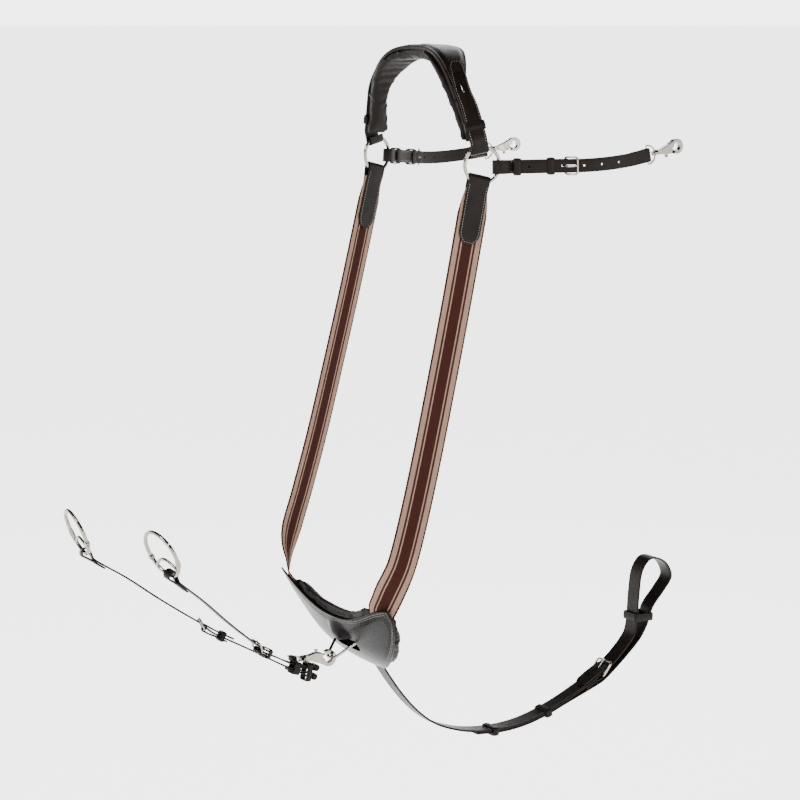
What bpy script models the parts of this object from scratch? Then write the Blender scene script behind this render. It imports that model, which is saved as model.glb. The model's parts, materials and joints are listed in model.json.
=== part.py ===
"""Breastplate martingale for a horse: jointed assembly of leather straps, webbing and metal fittings.

Metres, +Z up.  +X is the horse's left (the near side), -Y is forward.  The origin is the top of
the arch under the wither pad, the place where the whole harness rests on the horse.
"""
import math

import bmesh
import bpy
from mathutils import Matrix, Vector

MM = 0.001
GAP = 0.3 * MM

# ---- driving dimensions (metres) --------------------------------------------------------------
PAD_ARC = 185 * MM            # length of the wither pad from its crown to one end
PAD_TOTAL = 14 * MM           # thickness of the pad, padding and cover together
PADDING_THICK = 9 * MM
END_LEAN = math.radians(73)   # slope of the pad's ends below the horizontal
RING_CENTRE = (125 * MM, 0.0, -131 * MM)
RING_TURN = math.radians(15)  # wither rings face this far forward of sideways
RING_MID_RADIUS = 22.75 * MM
RING_WIRE = 2.25 * MM
BILLET_WIDTH = 23 * MM
LEATHER = 2.6 * MM
TAB_WIDTH = 28 * MM
WEB_WIDTH = 39 * MM
WEB_THICK = 1.6 * MM
SADDLE_WIDTH = 17 * MM
SADDLE_SWING = math.radians(13)   # saddle straps leave the ring plane outwards by this
SADDLE_REACH = 90 * MM            # ring wire to buckle hinge bar is a little less than this
FORK_WIDTH = 12 * MM
GIRTH_WIDTH = 25 * MM
PLATE_HALF = 135 * MM
PLATE_BULGE = 20 * MM
PLATE_SPACE = 4.2 * MM            # room between cover and padding for the webbing ends
REIN_RING_RADIUS = 30 * MM
REIN_RING_WIRE = 2.6 * MM


# ---- scene, materials and small helpers --------------------------------------------------------
def clear_scene():
    for item in list(bpy.data.objects):
        bpy.data.objects.remove(item, do_unlink=True)


def new_collection(name):
    group = bpy.data.collections.new(name)
    bpy.context.scene.collection.children.link(group)
    return group


def material(name, colour, roughness, metallic=0.0):
    made = bpy.data.materials.new(name)
    made.use_nodes = True
    shader = made.node_tree.nodes["Principled BSDF"]
    shader.inputs["Base Color"].default_value = (*colour, 1.0)
    shader.inputs["Roughness"].default_value = roughness
    shader.inputs["Metallic"].default_value = metallic
    return made


clear_scene()
PARTS = new_collection("martingale")
CUTTERS = new_collection("cutters")
DARK_LEATHER = material("dark_leather", (0.022, 0.017, 0.014), 0.42)
GLOSS_LEATHER = material("gloss_leather", (0.030, 0.028, 0.028), 0.25)
SOFT_LEATHER = material("soft_leather", (0.020, 0.017, 0.015), 0.60)
WEBBING = material("striped_elastic", (0.180, 0.070, 0.050), 0.85)
NICKEL = material("nickel", (0.780, 0.770, 0.740), 0.18, 1.0)


def finish(item, name, skin, group=PARTS):
    """Give an object its node name, its material and its collection."""
    item.name = name
    item.data.name = name
    item.data.materials.clear()
    item.data.materials.append(skin)
    for user in list(item.users_collection):
        user.objects.unlink(item)
    group.objects.link(item)
    return item


def pivot(item, point):
    """Move an object's origin onto its joint, leaving its shape where it is."""
    item.data.transform(Matrix.Translation(-Vector(point)) @ item.matrix_world)
    item.matrix_world = Matrix.Translation(point)
    return item


def to_off_side(items):
    """Mirror near-side objects across the middle of the horse."""
    for item in items:
        origin = item.matrix_world.translation.copy()
        origin.x = -origin.x
        flip = Matrix.Diagonal((-1, 1, 1, 1))
        item.data.transform(Matrix.Translation(-origin) @ flip @ item.matrix_world)
        item.data.flip_normals()
        item.matrix_world = Matrix.Translation(origin)


def frame(origin, x_axis, y_axis):
    """Matrix with its origin and its first axis as given; the second is made square to the first."""
    x = Vector(x_axis).normalized()
    y = Vector(y_axis)
    y = (y - x * y.dot(x)).normalized()
    z = x.cross(y)
    made = Matrix.Identity(4)
    for index, column in enumerate((x, y, z, Vector(origin))):
        for row in range(3):
            made[row][index] = column[row]
    return made


def along_route(place, points):
    """Points of a local frame as world places."""
    return [place @ Vector(p) for p in points]


def smooth(value, low, high):
    """0 below low, 1 above high, an S curve between them."""
    t = min(1.0, max(0.0, (value - low) / (high - low)))
    return t * t * (3 - 2 * t)


def hermite_route(points, count):
    """count + 1 places on a smooth curve through the points, evenly spaced by parameter."""
    points = [Vector(p) for p in points]
    lengths = [0.0]
    for a, b in zip(points, points[1:]):
        lengths.append(lengths[-1] + (b - a).length)
    slopes = []
    for i in range(len(points)):
        low, high = max(0, i - 1), min(len(points) - 1, i + 1)
        slopes.append((points[high] - points[low]) / (lengths[high] - lengths[low]))
    route = []
    for step in range(count + 1):
        distance = lengths[-1] * step / count
        i = min(len(points) - 2, max(j for j in range(len(points)) if lengths[j] <= distance + 1e-9))
        span = lengths[i + 1] - lengths[i]
        t = (distance - lengths[i]) / span
        route.append(
            points[i] * (2 * t**3 - 3 * t**2 + 1)
            + slopes[i] * span * (t**3 - 2 * t**2 + t)
            + points[i + 1] * (3 * t**2 - 2 * t**3)
            + slopes[i + 1] * span * (t**3 - t**2)
        )
    return route


def arc(centre, radius, start, end, count):
    """Points on a flat arc, angles in degrees."""
    made = []
    for i in range(count + 1):
        angle = math.radians(start + (end - start) * i / count)
        made.append((centre[0] + radius * math.cos(angle), centre[1] + radius * math.sin(angle)))
    return made


def rounded_box(half_x, half_y, radius, centre=(0.0, 0.0), steps=2):
    """Outline of a rectangle with round corners."""
    corners = ((1, 1, 0), (-1, 1, 90), (-1, -1, 180), (1, -1, 270))
    made = []
    for sign_x, sign_y, start in corners:
        place = (centre[0] + sign_x * (half_x - radius), centre[1] + sign_y * (half_y - radius))
        made += arc(place, radius, start, start + 90, steps)
    return made


def slab(name, outlines, thickness, place, skin):
    """A flat outline with holes, extruded both ways from its own plane, turned into a mesh."""
    curve = bpy.data.curves.new(name, "CURVE")
    curve.dimensions = "2D"
    curve.fill_mode = "BOTH"
    curve.extrude = thickness / 2
    for outline in outlines:
        spline = curve.splines.new("POLY")
        spline.points.add(len(outline) - 1)
        for point, (x, y) in zip(spline.points, outline):
            point.co = (x, y, 0.0, 1.0)
        spline.use_cyclic_u = True
    item = bpy.data.objects.new(name, curve)
    PARTS.objects.link(item)
    item.matrix_world = place
    return solid_from_curve(item, name, skin)


def wire(name, points, radius, skin, closed=False, swell=None):
    """A round wire along the points; swell maps a point's index to a radius factor."""
    curve = bpy.data.curves.new(name, "CURVE")
    curve.dimensions = "3D"
    curve.bevel_depth = radius
    curve.bevel_resolution = 2
    curve.use_fill_caps = not closed
    spline = curve.splines.new("POLY")
    spline.points.add(len(points) - 1)
    for index, place in enumerate(points):
        spline.points[index].co = (*place, 1.0)
        spline.points[index].radius = (swell or {}).get(index, 1.0)
    spline.use_cyclic_u = closed
    item = bpy.data.objects.new(name, curve)
    PARTS.objects.link(item)
    return solid_from_curve(item, name, skin)


def solid_from_curve(item, name, skin):
    """Replace a curve object by its closed mesh."""
    bpy.context.view_layer.update()
    graph = bpy.context.evaluated_depsgraph_get()
    mesh = bpy.data.meshes.new_from_object(item.evaluated_get(graph))
    place = item.matrix_world.copy()
    bpy.data.objects.remove(item, do_unlink=True)
    body = bmesh.new()
    body.from_mesh(mesh)
    bmesh.ops.remove_doubles(body, verts=body.verts, dist=0.00001)
    bmesh.ops.recalc_face_normals(body, faces=body.faces)
    body.to_mesh(mesh)
    body.free()
    made = bpy.data.objects.new(name, mesh)
    made.matrix_world = place
    PARTS.objects.link(made)
    return finish(made, name, skin)


def ribbon(name, centres, acrosses, widths, thickness, skin):
    """A strap: a sheet along the centres, as wide as widths says at each, made solid."""
    body = bmesh.new()
    count = len(centres) - 1
    bmesh.ops.create_grid(body, x_segments=count, y_segments=1, size=1.0)
    for vert in body.verts:
        index = round((vert.co.x + 1) / 2 * count)
        lane = vert.co.y
        vert.co = Vector(centres[index]) + Vector(acrosses[index]) * (widths[index] / 2 * lane)
    return sheet_object(name, body, thickness, skin)


def sheet_object(name, body, thickness, skin):
    """Turn a one-layer mesh into a solid of the given thickness, half on each side."""
    mesh = bpy.data.meshes.new(name)
    body.to_mesh(mesh)
    body.free()
    item = bpy.data.objects.new(name, mesh)
    PARTS.objects.link(item)
    shell = item.modifiers.new("thickness", "SOLIDIFY")
    shell.thickness = thickness
    shell.offset = 0.0
    return finish(item, name, skin)


def pointed(count, width, tip, first=True):
    """Strap widths that narrow over the first or last tip stations to a small flat end."""
    made = [width] * (count + 1)
    for i in range(tip):
        factor = 0.35 + 0.65 * math.sin(math.pi / 2 * i / tip)
        made[i if first else count - i] = width * factor
    return made


def boolean(item, other, how):
    """Cut or join a second solid, which is kept among the cutters."""
    step = item.modifiers.new(how.lower(), "BOOLEAN")
    step.operation = how
    step.object = other
    step.solver = "EXACT"
    for user in list(other.users_collection):
        user.objects.unlink(other)
    CUTTERS.objects.link(other)
    other.hide_render = True
    other.display_type = "WIRE"
    return item


def box_tool(name, half, place):
    body = bmesh.new()
    bmesh.ops.create_cube(body, size=2.0)
    bmesh.ops.scale(body, vec=half, verts=body.verts)
    mesh = bpy.data.meshes.new(name)
    body.to_mesh(mesh)
    body.free()
    item = bpy.data.objects.new(name, mesh)
    item.matrix_world = place
    PARTS.objects.link(item)
    return item


def rod_tool(name, radius, start, end, place, sides=12):
    """A closed cylinder between two points of a local frame."""
    a, b = place @ Vector(start), place @ Vector(end)
    body = bmesh.new()
    bmesh.ops.create_cone(body, cap_ends=True, segments=sides, radius1=radius, radius2=radius,
                          depth=(b - a).length)
    turn = (b - a).to_track_quat("Z", "Y").to_matrix().to_4x4()
    bmesh.ops.transform(body, matrix=Matrix.Translation((a + b) / 2) @ turn, verts=body.verts)
    mesh = bpy.data.meshes.new(name)
    body.to_mesh(mesh)
    body.free()
    item = bpy.data.objects.new(name, mesh)
    PARTS.objects.link(item)
    return item


# ---- wither pad -------------------------------------------------------------------------------
def pad_heading(s):
    """Slope below the horizontal at a distance s along the pad from its crown."""
    return END_LEAN * (1 - math.exp(-((s / (85 * MM)) ** 2.2)))


def pad_section(s):
    """Point on the pad's upper surface line and its outward normal, in the XZ plane."""
    steps = 40
    x, z = 0.0, PAD_TOTAL
    for i in range(steps):
        middle = s * (i + 0.5) / steps
        x += math.cos(pad_heading(middle)) * s / steps
        z -= math.sin(pad_heading(middle)) * s / steps
    lean = pad_heading(s)
    return Vector((x, 0, z)), Vector((math.sin(lean), 0, math.cos(lean)))


def pad_front(s):
    return -22 * MM - 8 * MM * math.sin(math.pi * min(1.0, s / PAD_ARC)) ** 2 + 4 * MM * s / PAD_ARC


def pad_back(s):
    return (25 - 29 * smooth(s, 30 * MM, 125 * MM) + 10 * smooth(s, 125 * MM, PAD_ARC)) * MM


def pad_point(s, across, height):
    """Place on the pad: s from -1 (off end) to 1 (near end), across 0 front to 1 back."""
    distance = abs(s) * PAD_ARC
    point, normal = pad_section(distance)
    point = point - normal * (PAD_TOTAL - height)
    y = pad_front(distance) * (1 - across) + pad_back(distance) * across
    return Vector((math.copysign(point.x, s), y, point.z))


def pad_layer(name, low, high, front_extra, back_extra, skin):
    body = bmesh.new()
    along, across = 28, 3
    bmesh.ops.create_grid(body, x_segments=along, y_segments=across, size=1.0)
    for vert in body.verts:
        side = (vert.co.y + 1) / 2
        point = pad_point(vert.co.x, side, (low + high) / 2)
        shift = front_extra * (1 - side) + back_extra * side
        vert.co = point + Vector((0, shift, 0))
    return sheet_object(name, body, high - low, skin)


def wither_pad():
    pad_layer("wither_pad_padding", 0.0, PADDING_THICK, -5 * MM, 2 * MM, SOFT_LEATHER)
    pad_layer("wither_pad_cover", PADDING_THICK + GAP, PAD_TOTAL, 0.0, 0.0, DARK_LEATHER)


# ---- strap fittings used in several places ---------------------------------------------------
def keeper(name, place, half_width, low, high, length):
    """A leather band round a strap: place has x along the strap, y across it, z outwards."""
    wall = 1.5 * MM
    middle = (low + high) / 2
    inner = rounded_box((high - low) / 2, half_width, 1.2 * MM, (middle, 0))
    outer = rounded_box((high - low) / 2 + wall, half_width + wall, 2.4 * MM, (middle, 0))
    turn = Matrix(((0, 0, 1, 0), (0, -1, 0, 0), (1, 0, 0, 0), (0, 0, 0, 1)))
    return slab(name, (outer, inner), length, place @ turn, DARK_LEATHER)


def buckle(label, place, half_width, reach, rise, bar, tongue):
    """Wire frame with its hinge bar at the place's origin, and a tongue resting on the far bar."""
    outline = rounded_box(reach / 2, half_width, 3 * MM, (reach / 2, 0))
    points = [(x, y, rise * x / reach) for x, y in outline]
    made = wire(label + "_buckle", along_route(place, points), bar, NICKEL, closed=True)
    pivot(made, place.translation)
    hook = bar + 0.35 * MM + tongue
    lift = math.atan2(rise, reach)
    curl = [(x, 0, z) for x, z in arc((0, 0), hook, 330, 90 + math.degrees(lift), 7)]
    far = math.hypot(reach, rise) + 1.5 * MM
    end = (curl[-1][0] + far * math.cos(lift), curl[-1][2] + far * math.sin(lift))
    made = wire(label + "_tongue", along_route(place, curl + [(end[0], 0, end[1])]), tongue, NICKEL)
    pivot(made, place.translation)


def tongue_slot(label, place, reach, tongue):
    """Cutter that frees the tongue's path through the leather at a buckle."""
    back, front = -5 * MM, reach - 2.6 * MM
    half = Vector(((front - back) / 2, tongue + 0.4 * MM, 12 * MM))
    shifted = place @ Matrix.Translation(((front + back) / 2, 0, 0))
    return box_tool(label + "_slot", half, shifted)


def turned_round(route, across, leather, bar, laps):
    """Centre line of a strap turned round a bar and laid back along itself.

    The route runs midway between the two layers and ends at the bar's centre; across is the width
    direction at each place.  The strap arrives on the side that ahead x across points to.
    """
    turn = bar + 0.45 * MM + leather / 2
    rest = leather / 2 + 0.3 * MM
    last = len(route) - 1
    normals = []
    for i in range(last + 1):
        ahead = (route[min(last, i + 1)] - route[max(0, i - 1)]).normalized()
        normals.append(ahead.cross(across[i]).normalized())
    ahead = (route[last] - route[last - 1]).normalized()
    offsets = [rest] * (last + 1)
    offsets[last] = turn
    offsets[last - 1] = rest + (turn - rest) * 0.45
    centres = [route[i] + normals[i] * offsets[i] for i in range(last + 1)]
    widths = list(across)
    for i in range(1, 8):
        angle = math.pi * i / 8
        centres.append(route[last] + normals[last] * turn * math.cos(angle) + ahead * turn * math.sin(angle))
        widths.append(across[last])
    for i in range(last, last - laps - 1, -1):
        centres.append(route[i] - normals[i] * offsets[i])
        widths.append(across[i])
    return centres, widths


def swivel_snap(label, place, size, roll):
    """Bolt snap: D eye with its bar at the origin, hook body that swivels in it, sliding bolt."""
    unit = size * MM
    bow = [(13 * unit * math.sin(math.pi * i / 12), 12 * unit * math.cos(math.pi * i / 12), 0)
           for i in range(13)]
    eye = wire(label + "_snap_eye", along_route(place, bow), 1.2 * unit, NICKEL, closed=True)
    pivot(eye, place.translation)
    boolean(eye, rod_tool(label + "_boss", 3.6 * unit, (11.2 * unit, 0, 0), (15.2 * unit, 0, 0), place),
            "UNION")
    boolean(eye, rod_tool(label + "_bore", 1.9 * unit, (9 * unit, 0, 0), (17 * unit, 0, 0), place),
            "DIFFERENCE")
    turned = place @ Matrix.Rotation(roll, 4, "X")
    hook_at = (47 * unit, 0.5 * unit)
    outline = [(15.6 * unit, 3.0 * unit), (23 * unit, 3.4 * unit), (34 * unit, 6.0 * unit)]
    outline += arc(hook_at, 9.8 * unit, 125, -125, 14)
    outline += arc(hook_at, 5.2 * unit, -125, 170, 14)
    outline += [(39 * unit, -0.6 * unit), (37.6 * unit, -6.0 * unit), (28 * unit, -6.0 * unit),
                (21 * unit, -3.6 * unit), (15.6 * unit, -3.0 * unit)]
    body = slab(label + "_snap_body", (outline,), 7 * unit, turned, NICKEL)
    boolean(body, rod_tool(label + "_shank", 1.5 * unit, (9.8 * unit, 0, 0), (19 * unit, 0, 0), turned),
            "UNION")
    boolean(body, rod_tool(label + "_rivet", 2.9 * unit, (8.4 * unit, 0, 0), (10.6 * unit, 0, 0), turned),
            "UNION")
    bolt_line = -3.6 * unit
    boolean(body, rod_tool(label + "_channel", 1.9 * unit, (20 * unit, bolt_line, 0),
                           (41 * unit, bolt_line, 0), turned), "DIFFERENCE")
    slot = turned @ Matrix.Translation((27 * unit, -6.5 * unit, 0))
    boolean(body, box_tool(label + "_knob_slot", Vector((5 * unit, 3 * unit, 1.9 * unit)), slot),
            "DIFFERENCE")
    path = [(42.4 * unit, bolt_line, 0), (30 * unit, bolt_line, 0), (30 * unit, -7.2 * unit, 0),
            (30 * unit, -7.6 * unit, 0), (30 * unit, -9.8 * unit, 0)]
    bolt = wire(label + "_snap_bolt", along_route(turned, path), 1.5 * unit, NICKEL,
                swell={3: 1.6, 4: 1.6})
    pivot(bolt, turned @ Vector(path[1]))


# ---- wither rings, neck billets, elastics -------------------------------------------------------
def ring_frame(turn=0.0):
    """Frame at the near wither ring: x backwards and y upwards in its plane, z outwards."""
    back = (math.sin(RING_TURN), math.cos(RING_TURN), 0)
    return frame(RING_CENTRE, back, (0, 0, 1)) @ Matrix.Rotation(turn, 4, "Z")


def wither_ring(label):
    bpy.ops.mesh.primitive_torus_add(major_radius=RING_MID_RADIUS, minor_radius=RING_WIRE,
                                     major_segments=32, minor_segments=8)
    ring = bpy.context.object
    ring.matrix_world = ring_frame()
    finish(ring, label + "_wither_ring", NICKEL)


FOLD = RING_WIRE + 0.55 * MM + LEATHER / 2      # leather centre line's distance from a ring wire


def fold_points(height, up, start=0, count=8):
    """Half circle of strap round a ring wire, outside first; up is +1 where it opens upwards."""
    points = []
    for step in range(start, count + 1):
        angle = math.pi * step / count
        points.append((0, height - up * FOLD * math.sin(angle), FOLD * math.cos(angle)))
    return points


def fold_height(half_width):
    """Height of a fold's centre so that its edges clear the ring wire."""
    inside = RING_MID_RADIUS - RING_WIRE
    corner = math.sqrt(inside**2 - half_width**2) - 0.35 * MM
    return corner + FOLD - LEATHER / 2


def neck_billet(label):
    """Billet on the outside of the pad's end, through the ring and up again."""
    place = ring_frame(math.radians(12))
    high = fold_height(BILLET_WIDTH / 2)
    lift = PAD_TOTAL + GAP + LEATHER / 2 + 0.2 * MM
    guide = []
    for s, extra in ((0.42, 0.0), (0.54, 0.0), (0.66, 1.2), (0.78, 3.6)):
        guide.append(pad_point(s, 0.5, lift + extra * MM))
    guide.append(place @ Vector((0, high + 12 * MM, FOLD + 1.0 * MM)))
    guide.append(place @ Vector((0, high + 5 * MM, FOLD)))
    centres = hermite_route(guide, 14)
    centres += along_route(place, fold_points(high, 1))
    centres.append(place @ Vector((0, high + 6 * MM, -FOLD)))
    ring_across = place.to_3x3() @ Vector((1, 0, 0))
    count = len(centres) - 1
    acrosses = []
    for index in range(count + 1):
        share = smooth(index, 2, 13)
        acrosses.append((Vector((0, 1, 0)) * (1 - share) + ring_across * share).normalized())
    widths = pointed(count, BILLET_WIDTH, 2)
    ribbon(label + "_neck_billet", centres, acrosses, widths, LEATHER, DARK_LEATHER)
    spot = 11
    band = frame(centres[spot], centres[spot + 1] - centres[spot - 1], acrosses[spot])
    reach = LEATHER / 2 + 2 * GAP
    keeper(label + "_neck_keeper", band, BILLET_WIDTH / 2 + GAP + 0.2 * MM, -reach, reach, 8 * MM)


WEB_LEAN = math.radians(13.5)    # elastics run forwards of straight down by this, in their plane
ELASTIC_LINE = ((127.6, -38.9, -300), (131.0, -63.4, -400), (134.4, -89.0, -500),
                (137.5, -112.0, -580), (138.0, -127.0, -625), (131.0, -137.6, -654))
ELASTIC_END = ((118, -1), (114.5, 5), (111, 11), (107, 18))    # sideways and down the plate


def elastic_route():
    """Centre line and width direction of one elastic, from under the tab to inside the plate."""
    place = ring_frame(-WEB_LEAN)
    across = place.to_3x3() @ Vector((1, 0, 0))
    start = place @ Vector((0, -31 * MM, 0))
    guide = [start]
    guide += [Vector(point) * MM for point in ELASTIC_LINE]
    inside = [plate_point(a * MM, b * MM, LAYER_MIDDLE) for a, b in ELASTIC_END]
    centres = hermite_route(guide + inside[:1], 34) + inside[1:]
    inward = (inside[-1] - inside[0]).normalized()
    end_across = inward.cross(plate_normal(113 * MM, 8 * MM)).normalized()
    if end_across.dot(across) < 0:
        end_across = -end_across
    acrosses = []
    last = len(centres) - 1
    for index in range(last + 1):
        share = smooth(index, 29.5, 34.5)
        mix = across.lerp(end_across, share)
        step = centres[min(last, index + 1)] - centres[max(0, index - 1)]
        step.normalize()
        acrosses.append((mix - step * mix.dot(step)).normalized())
    return centres, acrosses


def elastic(label):
    centres, acrosses = elastic_route()
    widths = [WEB_WIDTH] * len(centres)
    for index, share in ((0, 0.74), (1, 0.90)):
        widths[index] = WEB_WIDTH * share
    ribbon(label + "_elastic", centres, acrosses, widths, WEB_THICK, WEBBING)


def elastic_tab(label):
    """Leather tab folded through the ring, sewn to both faces of the elastic."""
    place = ring_frame(-WEB_LEAN)
    low = -fold_height(TAB_WIDTH / 2)
    rest = WEB_THICK / 2 + GAP + LEATHER / 2
    depths = [100, 94, 86, 74, 60, 46, 36]
    outer_leg = [(0, -y * MM, rest) for y in depths] + [(0, -28 * MM, FOLD - 0.5 * MM)]
    inner_leg = [(x, y, -z) for x, y, z in reversed(outer_leg)]
    line = [place.inverted() @ point for point in elastic_route()[0]]
    centres = []
    for point in outer_leg + fold_points(low, -1) + inner_leg:
        centres.append(place @ (Vector(point) + line_shift(line, point[1])))
    across = place.to_3x3() @ Vector((1, 0, 0))
    count = len(centres) - 1
    widths = [TAB_WIDTH] * (count + 1)
    for offset, share in ((0, 0.25), (1, 0.70), (2, 0.96)):
        widths[offset] = TAB_WIDTH * share
        widths[count - offset] = TAB_WIDTH * share
    ribbon(label + "_elastic_tab", centres, [across] * (count + 1), widths, LEATHER, DARK_LEATHER)


def line_shift(line, level):
    """Sideways place of a line that runs downwards, where it passes a level."""
    for a, b in zip(line, line[1:]):
        if b.y <= level <= a.y:
            met = a.lerp(b, (level - a.y) / (b.y - a.y))
            return Vector((met.x, 0, met.z))
    return Vector((0, 0, 0))


# ---- saddle straps -----------------------------------------------------------------------------
SADDLE_POSE = {"near": (-7.0, 1.0, 100.0), "off": (-7.0, -5.0, 125.0)}
BAR = 1.4 * MM
CHAPE_LEATHER = 2.2 * MM
CHAPE_TURN = BAR + 0.4 * MM + CHAPE_LEATHER         # outer radius of leather round a hinge bar
STRAP_LEVEL = CHAPE_TURN + GAP + LEATHER / 2        # strap centre above the hinge bar centre
SNAP_BAR = 1.2 * MM


def saddle_frame(label):
    """Frame at the rear of the wither ring: x along the strap, y upwards, z outwards."""
    drop, pitch, _ = SADDLE_POSE[label]
    ring = ring_frame()
    angle = math.radians(drop)
    origin = ring @ Vector((RING_MID_RADIUS * math.cos(angle), RING_MID_RADIUS * math.sin(angle), 0))
    heading = RING_TURN + SADDLE_SWING
    ahead = Vector((math.sin(heading), math.cos(heading), math.tan(math.radians(pitch))))
    return frame(origin, ahead, (0, 0, 1))


def saddle_chape(label, place, bar_at):
    """Short strap: a loop round the ring wire, sewn layers, a fold round the buckle's bar."""
    wall = CHAPE_LEATHER
    back, front, half = -6.8 * MM, 5.0 * MM, 4.2 * MM
    turn = BAR + 0.4 * MM
    outline = arc((back + half, 0), half + wall, 90, 270, 8)
    outline += [(front, -half - wall), (front + 7 * MM, -wall), (bar_at - 7 * MM, -wall)]
    outline += arc((bar_at, 0), turn + wall, -90, 90, 8)
    outline += [(bar_at - 7 * MM, wall), (front + 7 * MM, wall), (front, half + wall)]
    ring_hole = arc((back + half, 0), half, 90, 270, 8)
    ring_hole += [(front - 1 * MM, -half), (front + 4 * MM, 0), (front - 1 * MM, half)]
    bar_hole = arc((bar_at, 0), turn, -150, 150, 12) + [(bar_at - 4 * MM, 0)]
    level = place @ Matrix.Rotation(math.pi / 2, 4, "X")
    made = slab(label + "_saddle_chape", (outline, ring_hole, bar_hole), SADDLE_WIDTH, level,
                DARK_LEATHER)
    return pivot(made, place.translation)


def saddle_route(label, bar_at):
    """Middle line of the long strap, from its tip under the keepers to the snap's bar."""
    inward = math.radians(0.30) / MM
    rise = math.radians(0.11) / MM
    bend_from = bar_at + 14 * MM
    total = bend_from + SADDLE_POSE[label][2] * MM
    step = 6 * MM
    points = []
    x, y, z = 20 * MM, 0.0, STRAP_LEVEL - LEATHER / 2 - 0.3 * MM
    distance = x
    while distance < total:
        points.append(Vector((x, y, z)))
        past = max(0.0, distance + step / 2 - bend_from)
        x += step * math.cos(inward * past) * math.cos(rise * past)
        y += step * math.sin(rise * past)
        z -= step * math.sin(inward * past)
        distance += step
    return points


def saddle_side(label):
    place = saddle_frame(label)
    bar_at = SADDLE_REACH - 8 * MM
    chape = saddle_chape(label, place, bar_at)
    route = saddle_route(label, bar_at)
    upright = []
    for i in range(len(route)):
        ahead = (route[min(len(route) - 1, i + 1)] - route[max(0, i - 1)]).normalized()
        upright.append((Vector((0, 1, 0)) - ahead * ahead.y).normalized())
    local, sides = turned_round(route, upright, LEATHER, SNAP_BAR, 4)
    centres = along_route(place, local)
    across = [place.to_3x3() @ side for side in sides]
    widths = pointed(len(centres) - 1, SADDLE_WIDTH, 2)
    strap = ribbon(label + "_saddle_strap", centres, across, widths, LEATHER, DARK_LEATHER)
    bar_frame = place @ Matrix.Translation((bar_at, 0, 0))
    reach = 15 * MM
    rise = STRAP_LEVEL + LEATHER / 2 + GAP + BAR
    buckle(label + "_saddle", bar_frame, SADDLE_WIDTH / 2 + 2.2 * MM, reach, rise, BAR, 1.0 * MM)
    slot = tongue_slot(label + "_saddle", bar_frame, reach, 1.0 * MM)
    boolean(chape, slot, "DIFFERENCE")
    boolean(strap, slot, "DIFFERENCE")
    low = -CHAPE_LEATHER - GAP
    high = STRAP_LEVEL + LEATHER / 2 + GAP
    for part, at in (("front", 22 * MM), ("rear", 64 * MM)):
        band = place @ Matrix.Translation((at, 0, 0))
        keeper(label + "_saddle_keeper_" + part, band, SADDLE_WIDTH / 2 + GAP + 0.2 * MM, low, high,
               9 * MM)
    ahead = place.to_3x3() @ (route[-1] - route[-2])
    eye = frame(place @ route[-1], ahead, place.to_3x3() @ Vector((0, 1, 0)))
    swivel_snap(label + "_saddle", eye, 1.0, 0.0)


# ---- breast plate --------------------------------------------------------------------------------
PLATE_TOP = Vector((0, -137 * MM, -681 * MM))
PLATE_DOWN = Vector((0, 57, -97)).normalized()
PLATE_FORE = PLATE_DOWN.cross(Vector((1, 0, 0)))
COVER_THICK = 2.4 * MM
BACK_THICK = 7 * MM
LAYER_MIDDLE = 1.2 * MM         # where the webbing ends lie, forward of the plate's own surface


def plate_bulge(a, b):
    across = max(0.0, 1 - (a / (140 * MM)) ** 2)
    down = 1.0 - (max(0.0, b - 60 * MM) / (66 * MM)) ** 2
    return PLATE_BULGE * across * down


def plate_point(a, b, height):
    """Place on the plate: a sideways, b down the plate, height forward of its own surface."""
    return PLATE_TOP + Vector((a, 0, 0)) + PLATE_DOWN * b + PLATE_FORE * (plate_bulge(a, b) + height)


def plate_normal(a, b):
    step = 1 * MM
    sideways = plate_point(a + step, b, 0) - plate_point(a - step, b, 0)
    down = plate_point(a, b + step, 0) - plate_point(a, b - step, 0)
    return down.cross(sideways).normalized()


def plate_edges(share):
    """Top and bottom of the plate, measured down it, at a share of its half width."""
    share = min(1.0, abs(share))
    top = 24 - 30 * smooth(share**1.35, 0.0, 0.98)
    bottom = 4 + 120 * (1 - share**1.7) ** 0.7
    return top * MM, bottom * MM


def plate_layer(name, middle, thickness, extra, dimple, skin):
    """One layer of the plate; extra is how far padding shows past the cover, dimple clears the dee."""
    body = bmesh.new()
    bmesh.ops.create_grid(body, x_segments=28, y_segments=9, size=1.0)
    for vert in body.verts:
        share = vert.co.x
        level = (vert.co.y + 1) / 2
        top, bottom = plate_edges(share)
        a = share * PLATE_HALF
        top -= extra * (1 - smooth(abs(share), 0.55, 0.8)) - 1.25 * extra * smooth(abs(share), 0.72, 0.92)
        bottom += 0.85 * extra * smooth(abs(share), 0.2, 0.7)
        b = top * level + bottom * (1 - level)
        sink = dimple * math.exp(-((a / (48 * MM)) ** 2) - (((b - 66 * MM) / (26 * MM)) ** 2))
        vert.co = plate_point(a, b, middle - sink)
    return sheet_object(name, body, thickness, skin)


def breast_plate():
    above = LAYER_MIDDLE + PLATE_SPACE / 2 + COVER_THICK / 2
    below = LAYER_MIDDLE - PLATE_SPACE / 2 - BACK_THICK / 2
    cover = plate_layer("breast_plate_cover", above, COVER_THICK, 0.0, 0.0, GLOSS_LEATHER)
    padding = plate_layer("breast_plate_padding", below, BACK_THICK, 12 * MM, 8 * MM, SOFT_LEATHER)
    window = frame(plate_point(0, 67 * MM, 6 * MM), (1, 0, 0), PLATE_DOWN)
    boolean(cover, box_tool("dee_window", Vector((30, 11.5, 12)) * MM, window), "DIFFERENCE")
    slope = plate_point(0, 125 * MM, 0) - plate_point(0, 117 * MM, 0)
    pocket = frame(plate_point(0, 121 * MM, below + BACK_THICK / 2), (1, 0, 0), slope)
    boolean(padding, box_tool("girth_pocket", Vector((15, 9, 1.6)) * MM, pocket), "DIFFERENCE")


DEE_HALF = 27 * MM
DEE_WIRE = 2.1 * MM


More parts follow.
